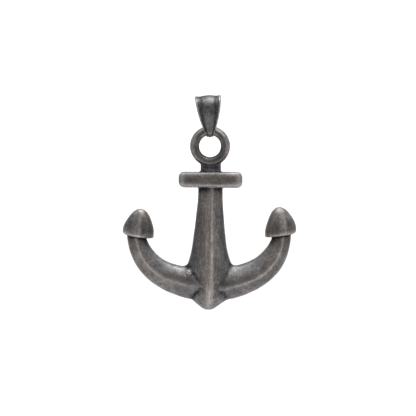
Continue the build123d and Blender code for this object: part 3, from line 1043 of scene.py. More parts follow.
# Where the casting's patina is bluish, above zero, or brownish, below it, in the same order.
CASTING_CHILLS = (
    # The ring and the neck.
    (0.3, -0.8, -9, 4, 1.6, 4, -0.15), (3.4, -0.8, -9.4, 0.8, 1.4, 1.2, -0.3),
    (1.3, -0.6, -12.8, 1, 1.2, 0.8, 0.45), (0.3, -0.6, -13.6, 1.2, 1, 0.3, 0.35),
    # The stock.
    (-3.9, -1.6, -15.4, 1.5, 1.4, 0.9, -0.5), (3.9, -1.6, -15.5, 1.6, 1.4, 0.8, -0.25),
    (0.3, -1.8, -15, 1.6, 1.4, 0.9, -0.2), (1.8, -1.6, -14.6, 0.8, 1.2, 0.5, -0.2),
    (5.9, -1.4, -14.2, 0.6, 1.2, 0.4, 0.45), (-3.4, -1.4, -14, 1, 1.2, 0.3, 0.35),
    # The shank.
    (-1.8, -1.6, -18.2, 0.5, 1.4, 1, -0.35), (0.2, -1.8, -19.7, 0.5, 1.4, 0.8, -0.2),
    (0.4, -1.8, -24.8, 1.1, 1.6, 1.3, -0.75), (-0.6, -1.8, -28, 0.6, 1.6, 2.2, -0.4),
    (-1, -1.8, -31.2, 0.8, 1.6, 1.2, -0.5), (2.4, -1.8, -23.3, 0.5, 1.6, 1.6, 0.5),
    (-2, -1.8, -23.1, 0.5, 1.6, 1.4, 0.3), (2.7, -1.6, -26.2, 0.5, 1.6, 2, 0.4),
    (-2.3, -1.6, -27.2, 0.4, 1.6, 1.6, 0.25), (-2.8, -1, -30.5, 0.8, 2.4, 3, 0.5),
    (3.4, -1, -30.8, 0.9, 2.4, 2.6, 0.5),
    # The crown.
    (-2.1, -1.6, -37, 1, 1.6, 1, 0.25), (2.2, -1.8, -35, 0.5, 1.4, 0.8, 0.35),
    (0.5, -1.8, -35.4, 0.6, 1.4, 0.8, -0.25),
    # The arms.
    (-3.5, -1.6, -32.3, 1.1, 1.4, 0.7, 0.3), (-7, -1, -31.6, 3.2, 1.6, 1, 0.5),
    (6.6, -1, -31.8, 2.6, 1.6, 1.2, 0.4), (-4.5, -1.8, -33.7, 1.4, 1.4, 0.6, -0.35),
    (-12.6, -1.2, -31, 1.2, 1.6, 1.9, -0.55), (-10.4, -1.4, -32.6, 1.4, 1.4, 0.8, -0.4),
    (11.6, -1.2, -31.7, 1.8, 1.6, 1.2, -0.5), (9.7, -1.6, -33.3, 1.2, 1.4, 0.7, -0.4),
    (-10.7, -1, -28.8, 1.2, 1.6, 1.8, 0.4), (10.2, -1, -29.6, 1.2, 1.6, 0.9, 0.55),
    (8.8, -1, -31, 1.2, 1.6, 0.6, 0.4), (-9, -1, -30.6, 0.8, 1.6, 0.6, 0.25),
    (-6.3, -1.4, -35.4, 1.6, 1.4, 0.8, 0.5), (8.3, -1.4, -34.7, 1.5, 1.4, 0.7, 0.5),
    (-14.3, -1, -29, 0.5, 1.4, 1.2, -0.4), (-12.3, -1.2, -27, 1, 1.4, 0.6, 0.35),
    # The flukes.
    (-13, -1.4, -22.6, 1.2, 1.6, 1.4, -0.3), (-13.8, -1.4, -25.3, 1.2, 1.4, 0.6, -0.35),
    (12.9, -1.4, -22.3, 1.2, 1.4, 1, -0.4), (14.5, -1.4, -22.7, 0.6, 1.4, 0.6, -0.3),
    (15.5, -1, -23.4, 0.7, 1.4, 1, 0.5), (-13, -0.6, -21, 1, 1.6, 0.8, -0.35),
    (13.1, -0.6, -20.8, 1, 1.6, 0.8, -0.6),
)


@dataclass(frozen=True)
class Arc:
    """A circle in the plane of the front, in millimetres.

    Attributes:
        x: place of its centre, to the right.
        z: place of its centre, upwards.
        radius: its radius.
    """

    x: float
    z: float
    radius: float

    def met_from(self, start: Vector, along: Vector) -> Vector:
        """Where a line that starts inside the circle meets it.

        Args:
            start: the line's start.
            along: its direction, of length one.

        Returns:
            The place.
        """
        away = start - Vector((self.x, 0.0, self.z))
        middle = away.dot(along)
        reach = math.sqrt(middle ** 2 - away.length_squared + self.radius ** 2) - middle
        return start + along * reach


@dataclass(frozen=True)
class Arm:
    """One curved arm with its fluke.

    Attributes:
        side: which side it is on.
        outer: its outer edge.
        inner: its inner edge.
        foot: the middle of the fluke's flat foot.
        lean: degrees that the fluke leans in.
        width: the fluke's width.
        height: the fluke's height.
        bend: how far the fluke's body stands outside its foot.
        bow: how far the front and back of its foot hang below its sides.
        ridge: how much nearer to the outer edge its ridge is than ARM_ROWS says, as a share.
        swell: how much further out than ARM_ROWS says its bend is, at its fullest.
        heel: how far the very foot stands in, so that its outer corner is rounder.
    """

    side: Side
    outer: Arc
    inner: Arc
    foot: tuple[float, float]
    lean: float
    width: float
    height: float
    bend: float
    bow: float
    ridge: float
    swell: float = 0.0
    heel: float = 0.12

    def build_arm(self) -> bpy.types.Object:
        """Draw the arm out from inside the crown to inside the fluke.

        Returns:
            The arm.
        """
        fan = Vector(((self.outer.x + self.inner.x) / 2, 0.0, (self.outer.z + self.inner.z) / 2))
        stations = []
        for angle, depth, under, proud in ARM_ROWS:
            swung = math.radians(angle)
            along = Vector((math.sin(swung) * self.side.value, 0.0, -math.cos(swung)))
            proud += self.swell * math.exp(-((angle - SWELL_MIDDLE) / SWELL_REACH) ** 2)
            low = self.outer.met_from(fan, along) + along * proud
            high = self.inner.met_from(fan, along)
            middle, width = (low + high) / 2, (low - high).length
            stations.append(Station(middle.x, middle.z, width, depth,
                                    angle * self.side.value - 90.0,
                                    width * (0.5 - under + self.ridge)))
        return RidgedBar(stations, ARM_QUARTER).build(f"arm_{self.side.name.lower()}")

    def build_fluke(self, thickness: float) -> bpy.types.Object:
        """Raise the fluke from its foot.

        Args:
            thickness: its size from front to back.

        Returns:
            The fluke.
        """
        lean = math.radians(self.lean) * -self.side.value
        stations = []
        for up, share in FLUKE_ROWS:
            rise = self.height * up
            out = self.side.value * (self.bend * min(up / BODY_OUT, 1.0)
                                     - self.heel * max(1.0 - up / HEEL_END, 0.0))
            stations.append(Station(
                self.foot[0] + math.sin(lean) * rise + math.cos(lean) * out,
                self.foot[1] + math.cos(lean) * rise - math.sin(lean) * out,
                self.width * share, thickness * share, -math.degrees(lean)))
        bar = RidgedBar(stations, FLUKE_QUARTER, crease=0.0, bow=self.bow)
        return bar.build(f"fluke_{self.side.name.lower()}")


@dataclass
class Casting:
    """The anchor with its ring, cast in one piece.

    Attributes:
        name: the piece's name.
        ring_middle: the ring's centre.
        ring_size: the radius of the ring's middle line, and of its wire.
        ring_lip: the radius of the lips round the inside of the ring, and of their wire.
        ring_lip_out: how far they stand in front of the ring's middle, and behind it.
        neck: the neck's width and thickness at its top.
        neck_shift: how far it is right of the ring's centre, and above the middle of its gap.
        neck_overlap: how much longer than its gap it is.
        neck_rounding: the radius of its upright edges.
        stock: the stock's length, thickness and height.
        stock_middle: its centre.
        stock_turn: degrees that it is turned from level, with its right end up.
        stock_taper: degrees that its underside is turned from its top, with its right end down.
        stock_rounding: the radius of its corners, and of the edges round its faces.
        stock_pillow: how far inside the edges of its faces they rise, and how high.
        fluke_thickness: each fluke's size from front to back.
        bead: centre and radius of the bead that the casting left by the left armpit.
        voxel: how fine the cast skin is.
        arms: the arms with their flukes.
        fillets: where the joints are rounded one by one: the centre's x and z, reach and passes.
    """

    name: str = "cast_anchor"
    ring_middle: tuple[float, float, float] = (0.3388, 0.0, -8.92)
    ring_size: tuple[float, float] = (2.883, 0.862)
    ring_lip: tuple[float, float] = (2.46, 0.13)
    ring_lip_out: float = 0.67
    neck: tuple[float, float] = (3.76, 0.94)
    neck_shift: tuple[float, float] = (0.14, 0.35)
    neck_overlap: float = 0.3
    neck_rounding: float = 0.32
    stock: tuple[float, float, float] = (11.90, 3.96, 2.95)
    stock_middle: tuple[float, float, float] = (0.43, 0.0, -15.17)
    stock_turn: float = -0.16
    stock_taper: float = 0.42
    stock_rounding: tuple[float, float] = (1.05, 0.72)
    stock_pillow: tuple[float, float] = (0.25, 0.02)
    fluke_thickness: float = 4.66
    bead: tuple[float, float, float, float] = (-3.55, -1.46, -32.38, 0.63)
    voxel: float = 0.127
    arms: tuple[Arm, Arm] = (
        Arm(Side.LEFT, outer=Arc(-2.610, -24.415, 12.571), inner=Arc(-4.255, -23.370, 7.789),
            foot=(-13.13, -25.66), lean=8.3, width=5.92, height=5.16, bend=0.06, bow=0.30,
            ridge=-0.025, heel=0.20),
        Arm(Side.RIGHT, outer=Arc(3.102, -24.764, 12.334), inner=Arc(4.286, -22.805, 8.248),
            foot=(13.50, -25.57), lean=7.6, width=5.95, height=5.33, bend=0.30, bow=0.16,
            ridge=0.038, swell=0.11))
    fillets: tuple[tuple[tuple[float, float], float, int], ...] = (
        ((-4.45, -30.85), 1.60, 60), ((4.80, -30.80), 1.60, 60),
        ((-2.75, -37.65), 1.00, 14), ((3.20, -37.60), 1.40, 60),
        ((-1.50, -13.55), 0.50, 8), ((2.20, -13.55), 0.50, 8),
        ((3.70, -32.10), 0.70, 8), ((3.10, -33.10), 0.70, 8), ((2.50, -34.00), 0.70, 8),
        ((-2.00, -35.25), 0.80, 14), ((2.40, -35.55), 0.80, 14),
        ((0.30, -34.80), 0.90, 10), ((0.20, -35.90), 1.00, 22), ((0.10, -36.90), 1.10, 30),
        ((0.00, -37.90), 0.95, 24))

    def build(self) -> bpy.types.Object:
        """Model the forms, cast them in one skin and weather it.

        Returns:
            The finished piece.
        """
        forms = [self._ring(), self._neck(), self._stock(), self._shank(), self._bead()]
        for arm in self.arms:
            forms += [arm.build_arm(), arm.build_fluke(self.fluke_thickness)]
        piece = join(self.name, forms)
        modify(piece, "REMESH", mode="VOXEL", voxel_size=self.voxel)
        modify(piece, "SMOOTH", factor=0.5, iterations=4)
        self._round_by_hand(piece)
        self._weather(piece)
        self._cast_skin(piece)
        bring_to_size(piece)
        return piece

    def _ring(self) -> bpy.types.Object:
        """The ring, a plain torus, with the two thin ones of its inner lips."""
        rings = [(0.0, *self.ring_size, 40), (-self.ring_lip_out, *self.ring_lip, 16),
                 (self.ring_lip_out, *self.ring_lip, 16)]
        return join("ring", [
            start_from(bpy.ops.mesh.primitive_torus_add, rotation=UPRIGHT,
                       location=(self.ring_middle[0], back, self.ring_middle[2]),
                       major_radius=radius, minor_radius=wire, major_segments=120,
                       minor_segments=segments)
            for back, radius, wire, segments in rings])

    def _neck(self) -> bpy.types.Object:
        """The flat neck from the ring to the stock, splayed at its foot."""
        top = self.ring_middle[2] - self.ring_size[0]
        bottom = self.stock_middle[2] + self.stock[2] / 2
        middle = (self.ring_middle[0] + self.neck_shift[0], 0.0,
                  (top + bottom) / 2 + self.neck_shift[1])
        neck = start_from(bpy.ops.mesh.primitive_cube_add, size=1.0, location=middle,
                          scale=(*self.neck, top - bottom + self.neck_overlap))
        start_editing(neck, "FACE")
        choose_faces(neck, lambda place, normal: normal.z < -0.9)
        for drop, wide, deep in NECK_SPLAY:
            bpy.ops.mesh.extrude_region_move(TRANSFORM_OT_translate={"value": (0, 0, -drop)})
            resize((wide, deep, 1.0), middle)
        # Its upright edges, which lean where it is splayed.
        bpy.ops.mesh.select_mode(type="EDGE")
        choose_edges(neck, lambda place, along: abs(along.z) > 0.6)
        bpy.ops.mesh.bevel(offset=self.neck_rounding, segments=4)
        turn_outwards(neck)
        return neck

    def _stock(self) -> bpy.types.Object:
        """The stock, a block with rounded corners, softened edges and pillowed faces."""
        stock = start_from(bpy.ops.mesh.primitive_cube_add, size=1.0,
                           location=self.stock_middle, scale=self.stock)
        half = self.stock[1] / 2
        start_editing(stock, "EDGE")
        choose_edges(stock, lambda place, along: abs(along.y) > 0.9)
        bpy.ops.mesh.bevel(offset=self.stock_rounding[0], segments=8)
        choose_edges(stock, lambda place, along: abs(abs(place.y) - half) < TINY)
        bpy.ops.mesh.bevel(offset=self.stock_rounding[1], segments=6)
        # The flats of its front and back, without the soft edges round them.
        bpy.ops.mesh.select_mode(type="FACE")
        choose_faces(stock, lambda place, normal: abs(normal.y) > 0.999)
        bpy.ops.mesh.inset(thickness=self.stock_pillow[0], depth=self.stock_pillow[1])
        # Its underside.
        bpy.ops.mesh.select_mode(type="VERT")
        choose_corners(stock, lambda place: place.z < self.stock_middle[2])
        end = (self.stock_middle[0] - self.stock[0] / 2, 0.0,
               self.stock_middle[2] - self.stock[2] / 2)
        rotate(-self.stock_taper, end)
        bpy.ops.mesh.select_all(action="SELECT")
        rotate(self.stock_turn, self.stock_middle)
        turn_outwards(stock)
        return stock

    def _shank(self) -> bpy.types.Object:
        """The shank with the crown at its foot."""
        stations = [Station(x, z, width, depth, ridge=ridge)
                    for z, width, depth, x, ridge in SHANK_ROWS]
        return RidgedBar(stations, SHANK_QUARTER, crease=0.2).build("shank")

    def _bead(self) -> bpy.types.Object:
        """The bead of metal that the casting left by the left armpit."""
        return start_from(bpy.ops.mesh.primitive_ico_sphere_add, subdivisions=3,
                          radius=self.bead[3], location=self.bead[:3])

    def _round_by_hand(self, piece: bpy.types.Object) -> None:
        """Round the joints between the forms, more towards the middle of each.

        Args:
            piece: the casting.
        """
        start_editing(piece)
        for (x, z), reach, passes in self.fillets:
            # Each round has half of the passes, and reaches less far than the one before.
            for share in (1.0, 0.75, 0.5):
                choose_corners(piece, lambda place: math.hypot(
                    place.x - x, place.z - z) < reach * share)
                bpy.ops.mesh.vertices_smooth(factor=0.5, repeat=passes // 2)
        put_down()

    def _cast_skin(self, piece: bpy.types.Object) -> None:
        """Give the skin the shallow waves and pits of a casting.

        Args:
            piece: the casting.
        """
        for name, size, height in SKIN:
            cloud = bpy.data.textures.new(name, "CLOUDS")
            cloud.noise_scale = size
            modify(piece, "DISPLACE", texture=cloud, texture_coords="LOCAL", strength=height,
                   mid_level=0.5)

    def _weather(self, piece: bpy.types.Object) -> None:
        """Keep on the mesh where the patina is worn and where it is thick, and where light and
        shade are painted.

        Args:
            piece: the casting.
        """
        places = places_of(piece)
        x, z = places[:, 0], places[:, 2]
        keep_relief(piece, "fine", passes=12, full=0.042, limits=(-1.2, 1.0))
        keep_relief(piece, "broad", passes=160, full=0.22, limits=(-1.2, 0.45))
        on_front = places[:, 1] < 0.0
        # The back gets the same wear and painted light and shade as the front, but for the bead.
        places = np.stack((x, -np.abs(places[:, 1]), z), axis=1)
        wear_and_light = felt_together(patches_in(CASTING_WEAR_AND_LIGHT) + self.seams(), places)
        wear_and_light += on_front * felt_together(self.bead_marks(), places)
        upward = normals_of(piece)[:, 2]
        wear_and_light += PAINTED_LIGHT_ABOVE.felt_at(upward) + PAINTED_SHADE_BELOW.felt_at(upward)
        away = np.hypot(x - self.ring_middle[0], z - self.ring_middle[2])
        level = ((z - self.ring_middle[2]) / np.maximum(away, 1.0)) ** 2
        wear_and_light += RING_DARK.felt_at(away) + level * RING_DARK_LEVEL.felt_at(away)
        wear_and_light += RING_INSIDE.felt_at(away) + RING_LIP.felt_at(away - self.ring_lip[0])
        wear_and_light += (FLAT_ALONG.felt_at(np.abs(x - self.stock_middle[0]))
                    * FLAT_UP.felt_at(np.abs(z - self.stock_middle[2])))
        keep_values(piece, "wear_and_painted_light", wear_and_light)
        inside = read_column(SHANK_HALVES, z) - np.abs(x - SHANK_MIDDLE)
        shank = SHANK_INSIDE.felt_at(inside) * SHANK_UNDER.felt_at(z)
        flukes = FLUKES_OUT.felt_at(np.abs(x)) * FLUKES_UP.felt_at(z)
        keep_values(piece, "brushed", BRUSHED_ALL_OVER + shank + flukes)
        keep_values(piece, "grime", felt_together(self.grime(), places))
        keep_values(piece, "frost_and_highlight", felt_together(self.frost_and_highlight(), places))
        keep_values(piece, "chill", felt_together(patches_in(CASTING_CHILLS), places))

    def seams(self) -> list[Seam]:
        """Lines where the patina stayed or is rubbed, and where highlights and shade are painted.

        Returns:
            The seams.
        """
        # Darker between the shank, the arms and the crown, as patina and painted shade in the
        # creases, and along the outer edges of the arms.
        return [Seam(((-2.9, -32.0), (-2.35, -33.1), (-1.6, -34.2)), 0.34, -0.03),
                Seam(((-1.7, -35.7), (-2.5, -36.5), (-3.0, -37.3)), 0.40, -0.08),
                Seam(((3.7, -32.1), (3.1, -33.1), (2.4, -34.2)), 0.60, -0.05),
                Seam(((2.0, -35.8), (2.7, -36.3), (3.2, -36.9)), 0.36, -0.06),
                Seam(((11.7, -33.3), (13.6, -30.8), (14.8, -27.9), (15.1, -26.2)), 0.5, -0.10),
                Seam(((-12.1, -32.3), (-13.3, -30.6), (-14.5, -27.6), (-14.9, -26.0)), 0.5, -0.12),
                # The ridge of the shank, rubbed and with a painted highlight.
                Seam(((0.72, -20.0), (0.72, -27.0), (0.66, -34.8)), 0.15, 0.04),
                # The facets of the flukes, each a painted highlight beside painted shade.
                Seam(((13.8, -21.9), (14.35, -23.3), (14.45, -24.8)), 0.22, 0.08),
                Seam(((14.6, -22.2), (14.95, -23.4), (15.0, -24.5)), 0.22, -0.07),
                Seam(((-12.75, -22.4), (-12.6, -25.0)), 0.20, 0.06),
                Seam(((-12.2, -22.2), (-12.05, -25.2)), 0.25, -0.07),
                # The lips along the feet of the flukes, which are rubbed and have a painted
                # highlight.
                Seam(((-15.1, -25.30), (-14.05, -25.50), (-12.9, -25.76), (-12.1, -25.80)),
                     0.20, 0.12),
                Seam(((11.6, -25.72), (12.9, -25.72), (14.1, -25.52), (15.3, -25.05)), 0.20, 0.08),
                # The ring's shoulders: a painted highlight line between two darker ones on either
                # side.
                Seam(((1.4, -5.90), (2.3, -6.45), (2.85, -7.00)), 0.15, 0.15),
                Seam(((2.3, -5.80), (2.8, -6.25), (3.4, -7.0)), 0.16, -0.10),
                Seam(((-1.4, -5.50), (-2.3, -6.15), (-2.9, -6.9)), 0.20, -0.22),
                Seam(((1.2, -6.15), (2.2, -6.80), (2.75, -7.50)), 0.16, -0.14),
                Seam(((-1.15, -5.87), (-1.95, -6.45), (-2.5, -7.0)), 0.14, 0.10),
                Seam(((-1.0, -6.20), (-1.9, -6.80), (-2.4, -7.50)), 0.16, -0.07)]

    def grime(self) -> list[Seam | Patch]:
        """Where black crumbs of patina stuck in the corners of the casting.

        Returns:
            The marks, with amounts above zero.
        """
        return [Seam(((-4.25, -31.15), (-3.75, -31.50), (-3.15, -31.80), (-2.72, -32.60),
                      (-2.15, -33.35), (-1.55, -34.20)), 0.28, 0.20),
                Seam(((-4.35, -31.10), (-3.85, -31.45), (-3.20, -31.85)), 0.24, 0.30),
                Seam(((-1.55, -35.50), (-2.25, -36.25), (-3.00, -37.20)), 0.42, 0.24),
                Seam(((4.15, -30.60), (4.30, -31.10), (3.90, -31.60)), 0.24, 0.30),
                Seam(((1.95, -35.85), (2.70, -36.25), (3.25, -36.95)), 0.38, 0.26),
                Seam(((-9.0, -32.9), (-7.5, -33.8), (-5.6, -34.55)), 0.22, 0.12),
                Patch((-0.5, -2.0, -34.2), (1.0, 1.5, 1.4), 0.12),
                Patch((1.5, -2.0, -34.4), (0.7, 1.5, 1.4), 0.12)]

    def frost_and_highlight(self) -> list[Patch]:
        """Where the casting stayed frosted, pale and grainy, with a painted highlight on the top
        of the right arm by the armpit.

        Returns:
            The marks.
        """
        return [Patch((5.2, -1.2, -31.9), (1.1, 1.4, 1.0), 0.26),
                Patch((-5.6, -1.2, -31.9), (1.8, 1.4, 0.7), 0.04)]

    def bead_marks(self) -> list[Seam | Patch]:
        """Painted highlights and painted shade on the bead and the metal round it, with a painted
        highlight along the bead's lit edge.

        Returns:
            The marks, which the front alone has.
        """
        lit_edge = Seam(((-4.08, -32.50), (-3.96, -32.14), (-3.70, -31.95)), 0.17, 0.27)
        return patches_in(BEAD_PAINTED_LIGHT) + [lit_edge]

    def dress(self, piece: bpy.types.Object) -> None:
        """Give the piece its finish and its place in the frame.

        Args:
            piece: the casting.
        """
        coat(piece, DarkenedSilver("darkened_cast_silver"))
        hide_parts("anchor")
        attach(piece, "anchor")


# The bail's section from the middle of its outside round to the middle of its inside:
# share of the half width, and height over the inside in millimetres.
BAIL_SECTION = ((0.0, 0.60), (0.15, 0.595), (0.29, 0.57), (0.41, 0.525), (0.51, 0.488),
                (0.59, 0.466), (0.65, 0.458), (0.70, 0.46), (0.77, 0.475), (0.84, 0.495),
                (0.90, 0.51), (0.95, 0.505), (0.985, 0.46), (1.005, 0.38), (1.0, 0.22),
                (0.985, 0.06), (0.93, 0.0), (0.50, 0.0), (0.0, 0.0))

# The bail's width at each height.
BAIL_WIDTHS = ((-7.4, 1.00), (-7.05, 1.18), (-6.4, 1.80), (-5.85, 2.31), (-5.16, 2.80),
               (-4.42, 3.21), (-3.67, 3.62), (-2.93, 3.99), (-2.18, 4.31), (-1.44, 4.55),
               (-0.69, 4.73), (0.3, 4.81))

# Where the bends of the bail have a section: degrees from the top, over the top and round
# the foot, and shares of the straight part between them.
TOP_BENDS = (0.0, 13.0, 26.0, 40.0, 55.0, 70.0, 85.0)
FOOT_BENDS = (114.0, 129.0, 144.0, 158.0, 170.0, 180.0)
LEG_SHARES = (0.25, 0.5, 0.75)

# Where the grooves are pressed in: from and to, as shares of the half width.
GROOVES = ((0.48, 0.86), (0.56, 0.80))

# How much lighter the bail is at each height: in its grooves, on its lips and down its middle.
BAIL_TONE = ((-7.4, -0.20, 0.08, -0.02), (-6.3, -0.26, 0.14, 0.01), (-5.2, -0.16, 0.28, 0.04),
             (-4.0, -0.17, 0.24, 0.12), (-3.2, -0.16, 0.16, 0.04), (-2.5, -0.17, 0.12, -0.14),
             (-1.8, -0.18, 0.16, -0.30), (-1.1, -0.20, 0.18, -0.14), (-0.5, -0.20, 0.12, -0.02),
             (0.2, -0.13, 0.10, 0.02), (0.6, -0.10, 0.06, 0.0))

# Where those are, as shares of the half width. The right lip is lighter than the left one.
IN_GROOVE, ON_LIP, DOWN_MIDDLE = Band(0.66, 0.17), Fade(0.78, 0.10), Band(0.0, 0.55)
RIGHT_LIP_MORE = 1.25

# The very edge is darker than the lip inside it, above a height.
EDGE_DARK, EDGE_UP = Fade(0.955, 0.03, -0.24), Fade(-1.5, 0.5)

# Where the bail is lighter or darker, worn patina and painted highlights and painted shade at its
# top and in its top corners, and where it is bluish or brownish, in the same order as the
# casting's.
BAIL_WEAR_AND_LIGHT = ((0.6, -1.2, -0.05, 1.2, 1, 0.6, 0.06), (0.15, -0.6, 0.5, 1.6, 1.2, 0.18, -0.22),
                (-0.8, -1.3, -0.1, 0.4, 1.2, 0.5, -0.13), (1.15, -1.4, -0.5, 0.3, 1, 0.5, 0.07),
                (1.64, -1.4, -0.6, 0.3, 1, 0.5, 0.08), (0.7, -1.4, -2.7, 0.4, 1.2, 0.6, -0.04),
                (0.85, -1.4, -0.78, 1.1, 1, 0.42, 0.19), (-1.5, -1.4, -0.85, 0.4, 1, 0.35, 0.07),
                (-2.02, -1.4, -0.45, 0.24, 1.2, 0.6, 0.38),
                (-1.55, -1.4, -0.3, 0.25, 1, 0.5, 0.07),
                (-2.29, -1.4, -0.45, 0.13, 1.2, 0.62, -0.42),
                (2.18, -1.4, -1.7, 0.2, 1.2, 0.6, -0.14),
                (-1.85, -1.4, -1.8, 0.25, 1.2, 0.8, 0.09),
                (-0.65, -1.4, -2.3, 0.4, 1.2, 1.1, -0.14),
                (0.78, -1.4, -2.3, 0.34, 1.2, 1.1, -0.17),
                (2.04, -1.4, -0.05, 0.15, 1.2, 0.6, 0.24),
                (2.32, -1.4, -0.3, 0.12, 1.2, 0.9, -0.33))
BAIL_CHILLS = ((0.3, -1, -0.1, 1.6, 1.6, 0.6, 0.5), (-1.2, -1.2, -1, 0.6, 1.4, 0.8, 0.3),
               (0, -1.4, -2.6, 0.6, 1.2, 0.6, -0.45), (-0.1, -1.2, -4.6, 0.9, 1.2, 1.2, 0.25))


@dataclass
class Bail:
    """The tapered loop that the ring hangs in, bent from a strip with a lip along each edge.

    Attributes:
        name: the piece's name.
        top_radius: the radius inside its top.
        foot_radius: the radius inside its foot.
        drop: from the inside of its top to the inside of its foot.
        lean: degrees that it leans, with its foot to the right.
        foot_share: how thick it is at its foot, as a share of the top.
        shift: how far it hangs to the right of the middle, in millimetres.
        groove: how much deeper its grooves are than at the top, for each degree of its bend.
        grooved_to: the degrees of its bend where they have their full depth.
        thinning: the power of its height by which it gets thinner.
    """

    name: str = "tapered_bail"
    top_radius: float = 1.75
    foot_radius: float = 1.05
    drop: float = 7.06
    lean: float = 3.1
    foot_share: float = 0.44
    shift: float = -0.04
    groove: float = 0.0028
    grooved_to: float = 60.0
    thinning: float = 1.4

    def _path(self) -> list[tuple[float, float, float]]:
        """The front half of the inside line, from the top to the foot.

        Returns:
            Rows of y, z and the degrees that the outside is turned forward from straight up.
        """
        top, foot = -self.top_radius, self.foot_radius - self.drop
        tangent = math.degrees(math.acos((self.foot_radius - self.top_radius) / (top - foot)))
        rows = [(angle, self.top_radius, top) for angle in (*TOP_BENDS, tangent)]
        rows += [(tangent, self.top_radius + (self.foot_radius - self.top_radius) * share,
                  top + (foot - top) * share) for share in LEG_SHARES]
        rows += [(angle, self.foot_radius, foot) for angle in (tangent, *FOOT_BENDS)]
        return [(-math.sin(math.radians(angle)) * radius,
                 centre + math.cos(math.radians(angle)) * radius, angle)
                for angle, radius, centre in rows]

    def build(self) -> bpy.types.Object:
        """Bend the front half down from its top, mirror it and lean the loop.

        Returns:
            The finished piece.
        """
        bail = self._first_section()
        path = self._path()
        for last, row in zip(path, path[1:]):
            self._bend_to(bail, last, row)
            if 0.0 < row[2] < self.grooved_to:
                self._press_grooves(bail, row, self.groove * (row[2] - last[2]))
        bpy.ops.mesh.select_mode(type="FACE")
        choose_faces(bail, lambda place, normal: abs(place.y) < TINY)
        bpy.ops.mesh.delete(type="FACE")
        modify(bail, "MIRROR", use_axis=(False, True, False), use_mirror_merge=True,
               merge_threshold=0.01)
        turn_outwards(bail)
        start_editing(bail)
        bpy.ops.mesh.select_all(action="SELECT")
        rotate(self.lean, ORIGIN)
        bpy.ops.transform.translate(value=(self.shift, 0.0, 0.0))
        modify(bail, "SUBSURF", levels=2, render_levels=2)
        self._weather(bail)
        bring_to_size(bail)
        return bail

    def _first_section(self) -> bpy.types.Object:
        """Make the section at the top out of a circle.

        Returns:
            The section, in edit mode with all of it selected.
        """
        corners, radius = 2 * (len(BAIL_SECTION) - 1), 9.0
        bail = start_from(bpy.ops.mesh.primitive_circle_add, vertices=corners, radius=radius,
                          fill_type="NGON", location=ORIGIN, rotation=UPRIGHT)
        bail.name = bail.data.name = self.name
        start_editing(bail)
        half = read_table(BAIL_WIDTHS, 0.0) / 2
        for count, (share, height) in enumerate(BAIL_SECTION):
            angle = math.tau * count / corners
            flat_x, flat_z = radius * math.sin(angle), radius * math.cos(angle)
            choose_corners(bail, lambda place: abs(abs(place.x) - flat_x) < TINY
                           and abs(place.z - flat_z) < TINY)
            if share:
                resize((share * half / flat_x, 1.0, 1.0), ORIGIN)
            bpy.ops.transform.translate(value=(0.0, 0.0, height - flat_z))
        bpy.ops.mesh.select_all(action="SELECT")
        return bail

    def _bend_to(self, bail: bpy.types.Object, last: tuple[float, float, float],
                 row: tuple[float, float, float]) -> None:
        """Draw the open end out to the next place on the path.

        Args:
            bail: the bail, in edit mode with its end selected.
            last: the place on the path where the end is.
            row: the next place.
        """
        y, z, angle = row
        bpy.ops.mesh.extrude_region_move(
            TRANSFORM_OT_translate={"value": (0.0, y - last[0], z - last[1])})
        rotate(last[2] - angle, (0.0, y, z), "X")
        wide = read_table(BAIL_WIDTHS, z) / read_table(BAIL_WIDTHS, last[1])
        thick = self._thickness(z) / self._thickness(last[1])
        turned = math.radians(angle)
        axes = ((1.0, 0.0, 0.0), (0.0, math.cos(turned), math.sin(turned)),
                (0.0, -math.sin(turned), math.cos(turned)))
        resize((wide, 1.0, thick), (0.0, y, z), orient_type="GLOBAL",
               orient_matrix_type="GLOBAL", orient_matrix=axes)

    def _press_grooves(self, bail: bpy.types.Object, row: tuple[float, float, float],
                       depth: float) -> None:
        """Press the open end in between its middle and its lips.

        Args:
            bail: the bail, in edit mode with its end selected.
            row: the place on the path where the end is.
            depth: how far, in millimetres.
        """
        y, z, angle = row
        turned = math.radians(angle)
        middle, outward = Vector((0.0, y, z)), Vector((0.0, -math.sin(turned), math.cos(turned)))
        along = outward.cross((1.0, 0.0, 0.0))
        half = read_table(BAIL_WIDTHS, z) / 2
        near, outer = 4.0, 0.15  # millimetres: the end is all nearer, its outside further out

        def at_end(place: Vector) -> bool:
            """Whether a corner is one of the end's."""
            away = place - middle
            return abs(away.dot(along)) < TINY and away.length < near

        for low, high in GROOVES:
            choose_corners(bail, lambda place: at_end(place) and low < abs(place.x) / half < high
                           and (place - middle).dot(outward) > outer)
            bpy.ops.transform.translate(value=outward * -depth / len(GROOVES))
        choose_corners(bail, at_end)

    def _thickness(self, height: float) -> float:
        """How thick the strip is at a height, as a share of the top."""
        down = max(-height / self.drop, 0.0)
        return 1.0 + (self.foot_share - 1.0) * down ** self.thinning

